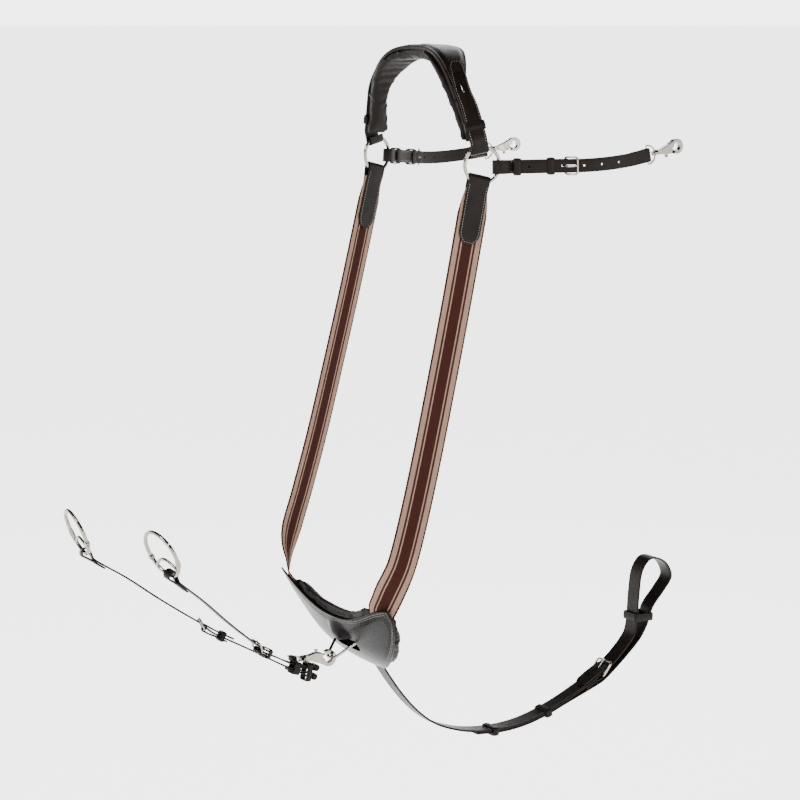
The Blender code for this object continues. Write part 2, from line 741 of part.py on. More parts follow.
def dee_frame():
    """Frame at the dee's bar: x along the dee to its tip, y sideways; and the dee's length."""
    bar = plate_point(0, 64 * MM, -2.6 * MM)
    tip = Vector((0, -149, -770)) * MM
    return frame(bar, tip - bar, (1, 0, 0)), (tip - bar).length


def breast_dee():
    place, length = dee_frame()
    corners = ((0, -DEE_HALF), (length, -8 * MM), (length, 8 * MM), (0, DEE_HALF))
    points = [(x, y, 0) for x, y in rounded_corners(corners, 4.5 * MM)]
    made = wire("breast_dee", along_route(place, points), DEE_WIRE, NICKEL, closed=True)
    pivot(made, place.translation)
    across = place @ Matrix.Rotation(-math.pi / 2, 4, "X")
    outer = rounded_box(4.4 * MM, 4.4 * MM, 2 * MM)
    inner = arc((0, 0), DEE_WIRE + 0.5 * MM, 0, 330, 11)
    slab("dee_strap", (outer, inner), 40 * MM, across, DARK_LEATHER)


def rounded_corners(corners, radius, steps=3):
    """Outline of a polygon with round corners."""
    made = []
    count = len(corners)
    for i in range(count):
        here = Vector(corners[i])
        to_last = (Vector(corners[i - 1]) - here).normalized()
        to_next = (Vector(corners[(i + 1) % count]) - here).normalized()
        half = to_last.angle(to_next) / 2
        centre = here + (to_last + to_next).normalized() * (radius / math.sin(half))
        first = here + to_last * (radius / math.tan(half)) - centre
        last = here + to_next * (radius / math.tan(half)) - centre
        for step in range(steps + 1):
            spoke = first.lerp(last, step / steps).normalized() * radius
            made.append(tuple(centre + spoke))
    return made


# ---- fork between the plate and the rein rings ---------------------------------------------------
FORK_LEATHER = 2.2 * MM
FORK_BAR = 1.2 * MM
SNAP_SIZE = 1.12
BUNDLE = {"near": ((-172, -776.4), (-186, -775.2), (-194, -773.4), (-200.5, -771.0), (-213, -766.5)),
          "off": ((-175, -787.6), (-186, -784.0), (-194, -780.4), (-200.5, -777.4), (-213, -773.4))}
FORK_BUCKLE = {"near": (30, -271.3, -734.7), "off": (30, -316.3, -714.9)}
REIN_RING = {"near": ((104, -438.5, -574.1), (0.12, -0.91, -0.39)),
             "off": ((104, -454.5, -586.4), (0.09, -0.93, -0.35))}


def across_of(direction):
    """Width direction of a fork or girth strap: sideways, square to the strap."""
    ahead = Vector(direction).normalized()
    sideways = Vector((1, 0, 0))
    return (sideways - ahead * ahead.x).normalized()


def acrosses_of(points):
    last = len(points) - 1
    return [across_of(points[min(last, i + 1)] - points[max(0, i - 1)]) for i in range(last + 1)]


def rein_frame(label):
    """Frame of a rein ring: x sideways and y up in its plane, z forwards."""
    centre, facing = REIN_RING[label]
    facing = Vector(facing).normalized()
    up = Vector((0, 0, 1))
    up = (up - facing * up.dot(facing)).normalized()
    return frame(Vector(centre) * MM, facing.cross(up) * -1, up)


def fork_snap():
    """Snap between the fork straps and the dee; its frame has x backwards and y sideways."""
    place, length = dee_frame()
    ahead = Vector((0, 1, -0.12)).normalized()
    pull = (5.2 * SNAP_SIZE * MM - DEE_WIRE - GAP)
    bar = place @ Vector((length, 0, 0)) - ahead * (47 * SNAP_SIZE * MM + pull)
    eye = frame(bar, ahead, (1, 0, 0))
    swivel_snap("fork", eye, SNAP_SIZE, math.pi / 2)
    return eye


def fork_snap_loop(eye):
    """Leather band round both straps with an eye on top for the snap's bar."""
    y, z = BUNDLE["near"][3]
    slope = Vector((0, -12.5, 4.0))
    centre = Vector((0, y, z)) * MM
    band_frame = frame(centre, slope, (1, 0, 0))
    if band_frame.to_3x3().col[2].z < 0:
        band_frame = frame(centre, slope, (-1, 0, 0))
    reach = FORK_LEATHER / 2 + GAP
    band = keeper("fork_snap_loop", band_frame, FORK_WIDTH / 2 + 0.6 * MM, -11.8 * MM, reach + 0.3 * MM, 9 * MM)
    side = frame(eye.translation, (0, 1, 0), (0, 0, 1))
    bar = SNAP_SIZE * SNAP_BAR
    half = bar + 2.4 * MM
    outline = arc((0, 0), half, -20, 200, 8)
    for x in (-half, half):
        forward = centre.y - eye.translation.y - x
        outline.append((x, centre.z - eye.translation.z + forward * 0.32 + reach + 1.2 * MM))
    hole = arc((0, 0), bar + 0.4 * MM, 0, 330, 11)
    eyelet = slab("snap_eyelet", (outline, hole), 11 * MM, side, DARK_LEATHER)
    boolean(band, eyelet, "UNION")


def fork_end_keeper():
    """Wide leather band closing the two straps together just behind their rolled ends."""
    place = frame(Vector((0, -183.5, -781)) * MM, (0, -12, 2.6), (1, 0, 0))
    if place.to_3x3().col[2].z < 0:
        place = frame(place.translation, (0, -12, 2.6), (-1, 0, 0))
    keeper("fork_end_keeper", place, FORK_WIDTH / 2 + 0.6 * MM, -13.2 * MM, 7.9 * MM, 8 * MM)


def fork_branch(label):
    """One fork strap, its buckle and keeper, and the rein strap buckled to it."""
    bar = Vector(FORK_BUCKLE[label]) * MM
    ring = rein_frame(label)
    ring_bar = ring @ Vector((0, -REIN_RING_RADIUS + 0.4 * MM, 0))
    bundle = [Vector((0, y, z - 1.4)) * MM for y, z in BUNDLE[label]]
    toward = (ring_bar - bar).normalized()
    middle = (bundle[-1] + bar) / 2 - toward * 2 * MM
    guide = bundle + [middle, bar - toward * 8 * MM, bar]
    route = hermite_route(guide, 20)
    centres, across = turned_round(route, acrosses_of(route), FORK_LEATHER, FORK_BAR, 4)
    curl = 3.4 * MM
    ahead = (centres[0] - centres[1]).normalized()
    down = ahead.cross(Vector((1, 0, 0)))
    down = down if down.z < 0 else -down
    rolled = []
    for i in range(1, 9):
        angle = math.pi * i / 8
        rolled.append(centres[0] + down * curl * (1 - math.cos(angle)) + ahead * curl * math.sin(angle))
    for i, gap in ((1, 5.0), (2, 3.2), (3, 2.7), (4, 2.7), (5, 2.7)):
        rolled.append(centres[i] + down * gap * MM)
    centres = rolled[::-1] + centres
    across = [across[0]] * len(rolled) + across
    widths = [FORK_WIDTH] * len(centres)
    strap = ribbon(label + "_fork_strap", centres, across, widths, FORK_LEATHER, DARK_LEATHER)
    place = frame(bar, toward, across_of(toward))
    rein_strap(label, place, ring, ring_bar, route, strap)


def rein_strap(label, place, ring, ring_bar, fork_route, fork_strap):
    """Strap from its tip on the fork strap, through the buckle, to the bottom of the rein ring."""
    leather = FORK_LEATHER
    level = FORK_BAR + 0.45 * MM + leather + GAP + leather / 2
    rest = leather / 2 + 0.3 * MM
    up = place.to_3x3() @ Vector((0, 0, 1))
    toward = place.to_3x3() @ Vector((1, 0, 0))
    bar = place.translation
    guide = []
    for index in (-6, -4):
        guide.append(fork_route[index] + up * (leather + 2 * GAP + leather / 2))
    guide += [bar - toward * 5 * MM + up * (level - rest), bar + up * (level - rest + 0.2 * MM)]
    guide.append(bar + toward * 11 * MM + up * (level - rest - 1.5 * MM))
    start = bar + toward * 30 * MM
    guide += [start.lerp(ring_bar, 0.25), start.lerp(ring_bar, 0.6)]
    arrive = ring.to_3x3() @ Vector((0, 0.35, 0)) + toward * 0.65
    guide += [ring_bar - arrive.normalized() * 14 * MM, ring_bar]
    route = hermite_route(guide, 34)
    centres, across = turned_round(route, acrosses_of(route), leather, REIN_RING_WIRE + 1.6 * MM, 5)
    widths = pointed(len(centres) - 1, FORK_WIDTH, 2)
    strap = ribbon(label + "_rein_strap", centres, across, widths, leather, DARK_LEATHER)
    reach = 13 * MM
    rise = level + leather / 2 + GAP + FORK_BAR - 1.4 * MM
    buckle(label + "_fork", place, FORK_WIDTH / 2 + 2.7 * MM, reach, rise, FORK_BAR, 0.8 * MM)
    slot = tongue_slot(label + "_fork", place, reach, 0.8 * MM)
    boolean(fork_strap, slot, "DIFFERENCE")
    boolean(strap, slot, "DIFFERENCE")
    spot = fork_route[-4]
    band = frame(spot, fork_route[-3] - fork_route[-5], across_of(fork_route[-3] - fork_route[-5]))
    keeper(label + "_fork_keeper", band, FORK_WIDTH / 2 + 0.6 * MM, -rest - leather / 2 - GAP,
           2 * leather + 3.4 * GAP + 1.8 * MM, 7 * MM)


HINGE_ANGLE = 199.0
LATCH_ANGLE = 37.0


def rein_ring(label):
    """Ring with an inner arch over the strap's eye, and a hinged gate over its top."""
    place = rein_frame(label)
    radius, thick = REIN_RING_RADIUS, REIN_RING_WIRE
    hinge = Vector((*arc((0, 0), radius, HINGE_ANGLE, HINGE_ANGLE, 1)[0], 0))
    fixed = [(x, y, 0) for x, y in arc((0, 0), radius, 205, 360 + LATCH_ANGLE - 1, 20)]
    ring = wire(label + "_rein_ring", along_route(place, fixed), thick, NICKEL,
                swell={14: 1.3, 15: 1.3})
    pivot(ring, place @ Vector((0, -radius, 0)))
    arch = []
    for i in range(9):
        angle = math.radians(222 + 96 * i / 8)
        lift = math.sin(math.pi * i / 8)
        arch.append((radius * math.cos(angle), radius * math.sin(angle) + 22.5 * MM * lift, 0))
    boolean(ring, wire(label + "_arch", along_route(place, arch), 2.0 * MM, NICKEL), "UNION")
    deep = Vector((0, 0, 1))
    boolean(ring, rod_tool(label + "_hinge_room", 3.5 * MM, hinge - deep * 1.4 * MM,
                           hinge + deep * 1.4 * MM, place, 16), "DIFFERENCE")
    for number, low, high in ((1, -2.9, -1.4), (2, 1.4, 2.9)):
        boolean(ring, rod_tool(label + "_cheek_" + str(number), 3.3 * MM, hinge + deep * low * MM,
                               hinge + deep * high * MM, place, 16), "UNION")
    boolean(ring, rod_tool(label + "_hinge_pin", 1.0 * MM, hinge - deep * 2.5 * MM,
                           hinge + deep * 2.5 * MM, place), "UNION")
    span = [(x, y, 0) for x, y in arc((0, 0), radius, HINGE_ANGLE - 7.2, LATCH_ANGLE + 0.4, 18)]
    gate = wire(label + "_rein_ring_gate", along_route(place, span), thick, NICKEL)
    pivot(gate, place @ hinge)
    neck = Vector((span[1][0], span[1][1], 0))
    lug = rod_tool(label + "_lug", 3.1 * MM, hinge - deep * 1.1 * MM, hinge + deep * 1.1 * MM, place, 16)
    boolean(gate, lug, "UNION")
    way = (neck - hinge).normalized()
    bridge = place @ frame(hinge + way * 3.2 * MM, way, deep)
    boolean(gate, box_tool(label + "_bridge", Vector((2.2, 1.1, 2.0)) * MM, bridge), "UNION")
    boolean(gate, rod_tool(label + "_pin_hole", 1.3 * MM, hinge - deep * 2 * MM,
                           hinge + deep * 2 * MM, place), "DIFFERENCE")


# ---- girth strap and loop ------------------------------------------------------------------------
GIRTH_LINE = ((-49.8, -830.4), (-21.5, -862.7), (8.7, -885.8), (49, -901.8), (86.5, -909),
              (129.5, -910.5), (170, -905.0), (213.6, -891.7), (251.2, -876.1), (284, -860.5))
GIRTH_LOOP = ((346, -820), (361, -799), (366, -786), (372, -772), (392, -750), (403.7, -732.7),
              (392, -711), (367, -703), (352, -719), (346.5, -752), (345, -775), (344, -790),
              (338, -812))
GIRTH_BAR = 1.6 * MM


def girth_route():
    """Middle line of the girth strap, from inside the plate to the buckle's bar."""
    lift = LAYER_MIDDLE + LEATHER / 2 + 0.3 * MM
    inside = [plate_point(0, b * MM, lift) for b in (118, 121, 124)]
    guide = inside[-1:] + [Vector((0, y, z)) * MM for y, z in GIRTH_LINE]
    return inside[:-1] + hermite_route(guide, 42)


def girth():
    leather = LEATHER
    route = girth_route()
    side = Vector((-1, 0, 0))
    centres, across = turned_round(route, [side] * len(route), leather, GIRTH_BAR, 3)
    widths = [GIRTH_WIDTH] * len(centres)
    strap = ribbon("girth_strap", centres, across, widths, leather, DARK_LEATHER)
    pivot(strap, plate_point(0, 121 * MM, LAYER_MIDDLE))
    bar = route[-1]
    toward = (route[-1] - route[-2]).normalized()
    place = frame(bar, toward, side)
    up = place.to_3x3() @ Vector((0, 0, 1))
    level = GIRTH_BAR + 0.45 * MM + leather + GAP + leather / 2
    reach = 20 * MM
    rise = level + leather / 2 + GAP + GIRTH_BAR
    loop_strap = girth_loop_strap(route, place, up, level, leather)
    buckle("girth", place, GIRTH_WIDTH / 2 + 2.6 * MM, reach, rise, GIRTH_BAR, 1.1 * MM)
    slot = tongue_slot("girth", place, reach, 1.1 * MM)
    boolean(strap, slot, "DIFFERENCE")
    boolean(loop_strap, slot, "DIFFERENCE")
    for part, index in (("front", 25), ("middle", 34)):
        ahead = route[index + 1] - route[index - 1]
        band = frame(route[index], ahead, side)
        keeper("girth_keeper_" + part, band, GIRTH_WIDTH / 2 + 0.6 * MM, -leather * 1.5 - 1.0 * MM,
               leather + 1.0 * MM, 9 * MM)
    low, high = Vector((0, 344, -786)) * MM, Vector((0, 366, -786)) * MM
    band = frame((low + high) / 2, (0, 0.05, 1), (1, 0, 0))
    half = (high - low).length / 2 + leather / 2 + 2.2 * MM
    keeper("girth_keeper_loop", band, GIRTH_WIDTH / 2 + 0.8 * MM, -half, half, 11 * MM)


def girth_loop_strap(route, place, up, level, leather):
    """Strap sewn under the girth strap, up round the girth loop, back down through the buckle."""
    side = Vector((-1, 0, 0))
    rest = leather / 2 + 0.3 * MM
    guide = []
    for index in (22, 26, 30, 34, 37):
        ahead = (route[index + 1] - route[index - 1]).normalized()
        out = ahead.cross(side).normalized()
        guide.append(route[index] - out * (leather / 2 + GAP))
    toward = place.to_3x3() @ Vector((1, 0, 0))
    bar = place.translation
    deep = GIRTH_BAR + 0.45 * MM + leather + GAP + leather / 2
    guide.append(bar - toward * 12 * MM - up * (deep + 0.5 * MM))
    guide.append(bar + toward * 6 * MM - up * (deep + 0.5 * MM))
    guide += [Vector((0, y, z)) * MM for y, z in GIRTH_LOOP]
    guide += [bar + toward * 24 * MM + up * (level - 1.0 * MM), bar + toward * 8 * MM + up * level,
              bar - toward * 8 * MM + up * level, bar - toward * 34 * MM + up * (leather + GAP + rest)]
    centres = hermite_route(guide, 74)
    widths = pointed(len(centres) - 1, GIRTH_WIDTH, 2, first=False)
    strap = ribbon("girth_loop_strap", centres, [side] * len(centres), widths, leather, DARK_LEATHER)
    return pivot(strap, bar)


# ---- build -----------------------------------------------------------------------------------
def build_side(label):
    before = set(bpy.data.objects)
    wither_ring(label)
    neck_billet(label)
    elastic(label)
    elastic_tab(label)
    saddle_side(label)
    fork_branch(label)
    rein_ring(label)
    if label == "off":
        to_off_side([item for item in bpy.data.objects if item not in before])


wither_pad()
build_side("near")
build_side("off")
breast_plate()
breast_dee()
fork_snap_loop(fork_snap())
fork_end_keeper()
girth()
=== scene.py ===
"""Breastplate martingale: leather, webbing, stitching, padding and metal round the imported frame.

Metres, +Z up, +X the horse's left (near side), -Y forward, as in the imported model.
"""
import json
from math import copysign, cos, exp, hypot, pi, radians, sin, sqrt, tan

import bmesh
import bpy
from mathutils import Matrix, Vector
from mathutils.bvhtree import BVHTree


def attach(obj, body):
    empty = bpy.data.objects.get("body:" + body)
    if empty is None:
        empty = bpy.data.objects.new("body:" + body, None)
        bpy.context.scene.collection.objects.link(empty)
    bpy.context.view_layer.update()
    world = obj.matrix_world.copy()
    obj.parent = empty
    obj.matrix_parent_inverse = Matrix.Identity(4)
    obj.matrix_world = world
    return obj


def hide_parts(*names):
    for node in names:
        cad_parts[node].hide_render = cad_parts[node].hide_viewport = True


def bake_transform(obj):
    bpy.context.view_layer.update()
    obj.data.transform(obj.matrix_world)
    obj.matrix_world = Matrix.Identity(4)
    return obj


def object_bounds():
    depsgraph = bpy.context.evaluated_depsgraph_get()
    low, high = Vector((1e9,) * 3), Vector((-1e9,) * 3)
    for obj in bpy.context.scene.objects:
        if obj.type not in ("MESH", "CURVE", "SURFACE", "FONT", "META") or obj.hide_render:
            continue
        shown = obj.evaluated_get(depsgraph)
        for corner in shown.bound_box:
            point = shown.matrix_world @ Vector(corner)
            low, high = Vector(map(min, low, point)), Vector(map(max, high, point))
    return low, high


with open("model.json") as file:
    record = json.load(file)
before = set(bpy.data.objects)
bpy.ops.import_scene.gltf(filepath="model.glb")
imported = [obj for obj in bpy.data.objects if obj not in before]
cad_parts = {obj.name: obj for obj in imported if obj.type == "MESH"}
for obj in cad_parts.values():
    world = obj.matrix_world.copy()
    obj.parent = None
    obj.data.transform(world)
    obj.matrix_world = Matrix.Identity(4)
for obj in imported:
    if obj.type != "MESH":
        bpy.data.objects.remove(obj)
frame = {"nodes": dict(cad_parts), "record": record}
CAD_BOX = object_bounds()
NODES = frame["nodes"]
RECORD = frame["record"]
BODY_OF = {node: body for body, members in RECORD["behaviour"]["bodies"].items() for node in members}
SLOT_OF = {part["node"]: part["material_slot"] for part in RECORD["subparts"]}
REPLACED = set()

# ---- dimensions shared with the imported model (metres)
MM = 0.001
GAP = 0.3 * MM
PAD_ARC = 185 * MM
PAD_TOTAL = 14 * MM
PADDING_THICK = 9 * MM
END_LEAN = radians(73)
RING_CENTRE = (125 * MM, 0.0, -131 * MM)
RING_TURN = radians(15)
RING_MID_RADIUS = 22.75 * MM
RING_WIRE = 2.25 * MM
BILLET_WIDTH = 23 * MM
LEATHER = 2.6 * MM
TAB_WIDTH = 28 * MM
WEB_WIDTH = 39 * MM
WEB_THICK = 1.6 * MM
SADDLE_WIDTH = 17 * MM
SADDLE_SWING = radians(13)
SADDLE_REACH = 90 * MM
FORK_WIDTH = 12 * MM
GIRTH_WIDTH = 25 * MM
PLATE_HALF = 135 * MM
PLATE_BULGE = 20 * MM
PLATE_SPACE = 4.2 * MM
REIN_RING_RADIUS = 30 * MM
REIN_RING_WIRE = 2.6 * MM
FOLD = RING_WIRE + 0.55 * MM + LEATHER / 2
WEB_LEAN = radians(13.5)
ELASTIC_LINE = ((127.6, -38.9, -300), (131.0, -63.4, -400), (134.4, -89.0, -500),
                (137.5, -112.0, -580), (138.0, -127.0, -625), (131.0, -137.6, -654))
ELASTIC_END = ((118, -1), (114.5, 5), (111, 11), (107, 18))
SADDLE_POSE = {"near": (-7.0, 1.0, 100.0), "off": (-7.0, -5.0, 125.0)}
BAR = 1.4 * MM
CHAPE_LEATHER = 2.2 * MM
CHAPE_TURN = BAR + 0.4 * MM + CHAPE_LEATHER
STRAP_LEVEL = CHAPE_TURN + GAP + LEATHER / 2
SNAP_BAR = 1.2 * MM
PLATE_TOP = Vector((0, -137 * MM, -681 * MM))
PLATE_DOWN = Vector((0, 57, -97)).normalized()
PLATE_FORE = PLATE_DOWN.cross(Vector((1, 0, 0)))
COVER_THICK = 2.4 * MM
LAYER_MIDDLE = 1.2 * MM
FORK_LEATHER = 2.2 * MM
FORK_BAR = 1.2 * MM
BUNDLE = {"near": ((-172, -776.4), (-186, -775.2), (-194, -773.4), (-200.5, -771.0), (-213, -766.5)),
          "off": ((-175, -787.6), (-186, -784.0), (-194, -780.4), (-200.5, -777.4), (-213, -773.4))}
FORK_BUCKLE = {"near": (30, -271.3, -734.7), "off": (30, -316.3, -714.9)}
REIN_RING = {"near": ((104, -438.5, -574.1), (0.12, -0.91, -0.39)),
             "off": ((104, -454.5, -586.4), (0.09, -0.93, -0.35))}
GIRTH_LINE = ((-49.8, -830.4), (-21.5, -862.7), (8.7, -885.8), (49, -901.8), (86.5, -909),
              (129.5, -910.5), (170, -905.0), (213.6, -891.7), (251.2, -876.1), (284, -860.5))
GIRTH_LOOP = ((346, -820), (361, -799), (366, -786), (372, -772), (392, -750), (403.7, -732.7),
              (392, -711), (367, -703), (352, -719), (346.5, -752), (345, -775), (344, -790),
              (338, -812))
GIRTH_BAR = 1.6 * MM
STITCH_INSET = 3.3 * MM
# holes, in mm along each strap from its tip
BILLET_HOLES = (22, 92)
SADDLE_HOLES = (16, 85, 108, 131)
REIN_HOLES = (56, 70, 84)
GIRTH_HOLES = (22, 70, 94)
# plate: window's half sides and corner radius; hood's place down it, half sides and height
WINDOW = (30 * MM, 11.5 * MM, 9 * MM)
WINDOW_AT = 67 * MM
HOOD_AT = 50 * MM
HOOD_HALVES = (25 * MM, 21 * MM)
HOOD_RISE = 9.0 * MM
FACE_LIFT = 0.05 * MM
STITCH_LIFT = 0.1 * MM
BAR_ROOM = 0.45 * MM
CAST_VOXEL = 0.42 * MM
FINE_VOXEL = 0.30 * MM
CLOTH_STEPS = 20
CLOTH_PRESSURE = 4.0
TURN_STEPS = 8
RING_STEPS = 112
WIRE_STEPS = 20
FORK_STITCH = (2.8 * MM, 1.9 * MM, 0.28 * MM)

# ---- view and light
CAMERA_TURN = 58.0
CAMERA_RISE = 9.8
CAMERA_TARGET = (0.0, -0.042, -0.441)
CAMERA_DISTANCE = 3.0
CAMERA_LENS = 103.95
WORLD_LIGHT = 4.6
FLOOR_GLOW = 3.4
FLOOR_DROP = 0.30
# share of the way up from straight down, and the colour there
SKY = ((0.05, (1.0, 1.0, 1.0, 1)), (0.30, (0.012, 0.012, 0.013, 1)))
# name, way towards the camera, to its right and up from the target, size, power
LAMPS = (("key", 1.7, -1.5, 1.7, (1.1, 1.1), 85),
         ("fill", 1.8, 1.9, 0.2, (0.9, 1.8), 30),
         ("rim", -1.9, 0.7, 1.7, (1.6, 0.9), 26))


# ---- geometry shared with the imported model
def axes(origin, x_axis, y_axis):
    """Matrix with its origin and its first axis as given; the second is made square to the first."""
    x = Vector(x_axis).normalized()
    y = Vector(y_axis)
    y = (y - x * y.dot(x)).normalized()
    z = x.cross(y)
    made = Matrix.Identity(4)
    for index, column in enumerate((x, y, z, Vector(origin))):
        for row in range(3):
            made[row][index] = column[row]
    return made


def along_route(place, points):
    """Points of a local frame as world places."""
    return [place @ Vector(p) for p in points]


def smooth(value, low, high):
    """0 below low, 1 above high, an S curve between them."""
    t = min(1.0, max(0.0, (value - low) / (high - low)))
    return t * t * (3 - 2 * t)


def stride(points, i):
    """Step between the neighbours of entry i of a list."""
    return points[min(len(points) - 1, i + 1)] - points[max(0, i - 1)]


def lengths_along(points):
    """Distance along a line from its first place to each of its places."""
    lengths = [0.0]
    for a, b in zip(points, points[1:]):
        lengths.append(lengths[-1] + (b - a).length)
    return lengths


def hermite(points, lengths, i, t):
    """Place at share t of span i on a smooth curve through the points."""
    span = lengths[i + 1] - lengths[i]
    leave, arrive = (stride(points, k) / stride(lengths, k) for k in (i, i + 1))
    return (points[i] * (2 * t**3 - 3 * t**2 + 1) + leave * span * (t**3 - 2 * t**2 + t)
            + points[i + 1] * (3 * t**2 - 2 * t**3) + arrive * span * (t**3 - t**2))


def hermite_route(points, count):
    """count + 1 evenly spaced places on a smooth curve through the points."""
    points = [Vector(p) for p in points]
    lengths = lengths_along(points)
    route = []
    for step in range(count + 1):
        distance = lengths[-1] * step / count
        i = min(len(points) - 2, max(j for j in range(len(points)) if lengths[j] <= distance + 1e-9))
        route.append(hermite(points, lengths, i, (distance - lengths[i]) / (lengths[i + 1] - lengths[i])))
    return route


def rounded_box(half_x, half_y, radius, steps, middle=0.0):
    """Outline of a rectangle with round corners."""
    made = []
    for quarter, (sign_x, sign_y) in enumerate(((1, 1), (-1, 1), (-1, -1), (1, -1))):
        for i in range(steps + 1):
            angle = radians(90 * quarter + 90 * i / steps)
            made.append((middle + sign_x * (half_x - radius) + radius * cos(angle),
                         sign_y * (half_y - radius) + radius * sin(angle)))
    return made


def pad_heading(s):
    """Slope below the horizontal at a distance s along the pad from its crown."""
    return END_LEAN * (1 - exp(-((s / (85 * MM)) ** 2.2)))


def pad_section(s):
    """Point on the pad's upper surface line and its outward normal, in the XZ plane."""
    steps, x, z = 40, 0.0, PAD_TOTAL
    for i in range(steps):
        middle = s * (i + 0.5) / steps
        x += cos(pad_heading(middle)) * s / steps
        z -= sin(pad_heading(middle)) * s / steps
    lean = pad_heading(s)
    return Vector((x, 0, z)), Vector((sin(lean), 0, cos(lean)))


def pad_front(s):
    return -22 * MM - 8 * MM * sin(pi * min(1.0, s / PAD_ARC)) ** 2 + 4 * MM * s / PAD_ARC


def pad_back(s):
    return (25 - 29 * smooth(s, 30 * MM, 125 * MM) + 10 * smooth(s, 125 * MM, PAD_ARC)) * MM


def pad_width(s):
    """Width of the pad at s from -1 (off end) to 1 (near end)."""
    distance = abs(s) * PAD_ARC
    return pad_back(distance) - pad_front(distance)


def pad_point(s, across, height):
    """Place on the pad: s from -1 (off end) to 1 (near end), across 0 front to 1 back."""
    distance = abs(s) * PAD_ARC
    point, normal = pad_section(distance)
    point = point - normal * (PAD_TOTAL - height)
    y = pad_front(distance) * (1 - across) + pad_back(distance) * across
    return Vector((copysign(point.x, s), y, point.z))


def turned_round(route, across, leather, bar, laps):
    """Centre line of a strap turned round a bar and laid back along itself.

    The route runs midway between the two layers to the bar's centre; the strap arrives on the side
    that ahead x across points to.
    """
    turn = bar + BAR_ROOM + leather / 2
    rest = leather / 2 + GAP
    last = len(route) - 1
    normals = [stride(route, i).normalized().cross(across[i]).normalized() for i in range(last + 1)]
    ahead = stride(route, last).normalized()
    offsets = [rest] * (last + 1)
    offsets[last] = turn
    offsets[last - 1] = rest + (turn - rest) * 0.45
    centres = [route[i] + normals[i] * offsets[i] for i in range(last + 1)]
    widths = list(across)
    for i in range(1, TURN_STEPS):
        angle = pi * i / TURN_STEPS
        centres.append(route[last] + normals[last] * turn * cos(angle) + ahead * turn * sin(angle))
        widths.append(across[last])
    for i in range(last, last - laps - 1, -1):
        centres.append(route[i] - normals[i] * offsets[i])
        widths.append(across[i])
    return centres, widths


def ring_frame(turn=0.0):
    """Frame at the near wither ring: x backwards and y upwards in its plane, z outwards."""
    back = (sin(RING_TURN), cos(RING_TURN), 0)
    return axes(RING_CENTRE, back, (0, 0, 1)) @ Matrix.Rotation(turn, 4, "Z")


def fold_points(height, up):
    """Half circle of strap round a ring wire, outside first; up is +1 where it opens upwards."""
    points = []
    for step in range(TURN_STEPS + 1):
        angle = pi * step / TURN_STEPS
        points.append((0, height - up * FOLD * sin(angle), FOLD * cos(angle)))
    return points


def fold_height(half_width):
    """Height of a fold's centre so that its edges clear the ring wire."""
    inside = RING_MID_RADIUS - RING_WIRE
    corner = sqrt(inside**2 - half_width**2) - 0.35 * MM
    return corner + FOLD - LEATHER / 2


def plate_bulge(a, b):
    across = max(0.0, 1 - (a / (140 * MM)) ** 2)
    down = 1.0 - (max(0.0, b - 60 * MM) / (66 * MM)) ** 2
    return PLATE_BULGE * across * down


def plate_point(a, b, height):
    """Place on the plate: a sideways, b down the plate, height forward of its own surface."""
    return PLATE_TOP + Vector((a, 0, 0)) + PLATE_DOWN * b + PLATE_FORE * (plate_bulge(a, b) + height)


def plate_normal(a, b):
    step = 1 * MM
    sideways = plate_point(a + step, b, 0) - plate_point(a - step, b, 0)
    down = plate_point(a, b + step, 0) - plate_point(a, b - step, 0)
    return down.cross(sideways).normalized()


def plate_edges(share):
    """Top and bottom of the plate, measured down it, at a share of its half width."""
    share = min(1.0, abs(share))
    top = 24 - 30 * smooth(share**1.35, 0.0, 0.98)
    bottom = 4 + 120 * (1 - share**1.7) ** 0.7
    return top * MM, bottom * MM


def elastic_route():
    """Centre line and width direction of one elastic, from under the tab to inside the plate."""
    place = ring_frame(-WEB_LEAN)
    across = place.to_3x3() @ Vector((1, 0, 0))
    start = place @ Vector((0, -31 * MM, 0))
    guide = [start] + [Vector(point) * MM for point in ELASTIC_LINE]
    inside = [plate_point(a * MM, b * MM, LAYER_MIDDLE) for a, b in ELASTIC_END]
    centres = hermite_route(guide + inside[:1], 34) + inside[1:]
    inward = (inside[-1] - inside[0]).normalized()
    end_across = inward.cross(plate_normal(113 * MM, 8 * MM)).normalized()
    if end_across.dot(across) < 0:
        end_across = -end_across
    acrosses = []
    for index in range(len(centres)):
        mix = across.lerp(end_across, smooth(index, 29.5, 34.5))
        step = stride(centres, index).normalized()
        acrosses.append((mix - step * mix.dot(step)).normalized())
    return centres, acrosses


def line_shift(line, level):
    """Sideways place of a line that runs downwards, where it passes a level."""
    for a, b in zip(line, line[1:]):
        if b.y <= level <= a.y:
            met = a.lerp(b, (level - a.y) / (b.y - a.y))
            return Vector((met.x, 0, met.z))
    return Vector((0, 0, 0))


def saddle_frame(label):
    """Frame at the rear of the wither ring: x along the strap, y upwards, z outwards."""
    drop, pitch = SADDLE_POSE[label][:2]
    ring = ring_frame()
    angle = radians(drop)
    origin = ring @ Vector((RING_MID_RADIUS * cos(angle), RING_MID_RADIUS * sin(angle), 0))
    heading = RING_TURN + SADDLE_SWING
    ahead = Vector((sin(heading), cos(heading), tan(radians(pitch))))
    return axes(origin, ahead, (0, 0, 1))


def saddle_route(label, bar_at):
    """Middle line of the long strap, from its tip under the keepers to the snap's bar."""
    inward = radians(0.30) / MM
    rise = radians(0.11) / MM
    bend_from = bar_at + 14 * MM
    total = bend_from + SADDLE_POSE[label][2] * MM
    step = 6 * MM
    points = []
    x, y, z = 20 * MM, 0.0, STRAP_LEVEL - LEATHER / 2 - GAP
    distance = x
    while distance < total:
        points.append(Vector((x, y, z)))
        past = max(0.0, distance + step / 2 - bend_from)
        x += step * cos(inward * past) * cos(rise * past)
        y += step * sin(rise * past)
        z -= step * sin(inward * past)
        distance += step
    return points


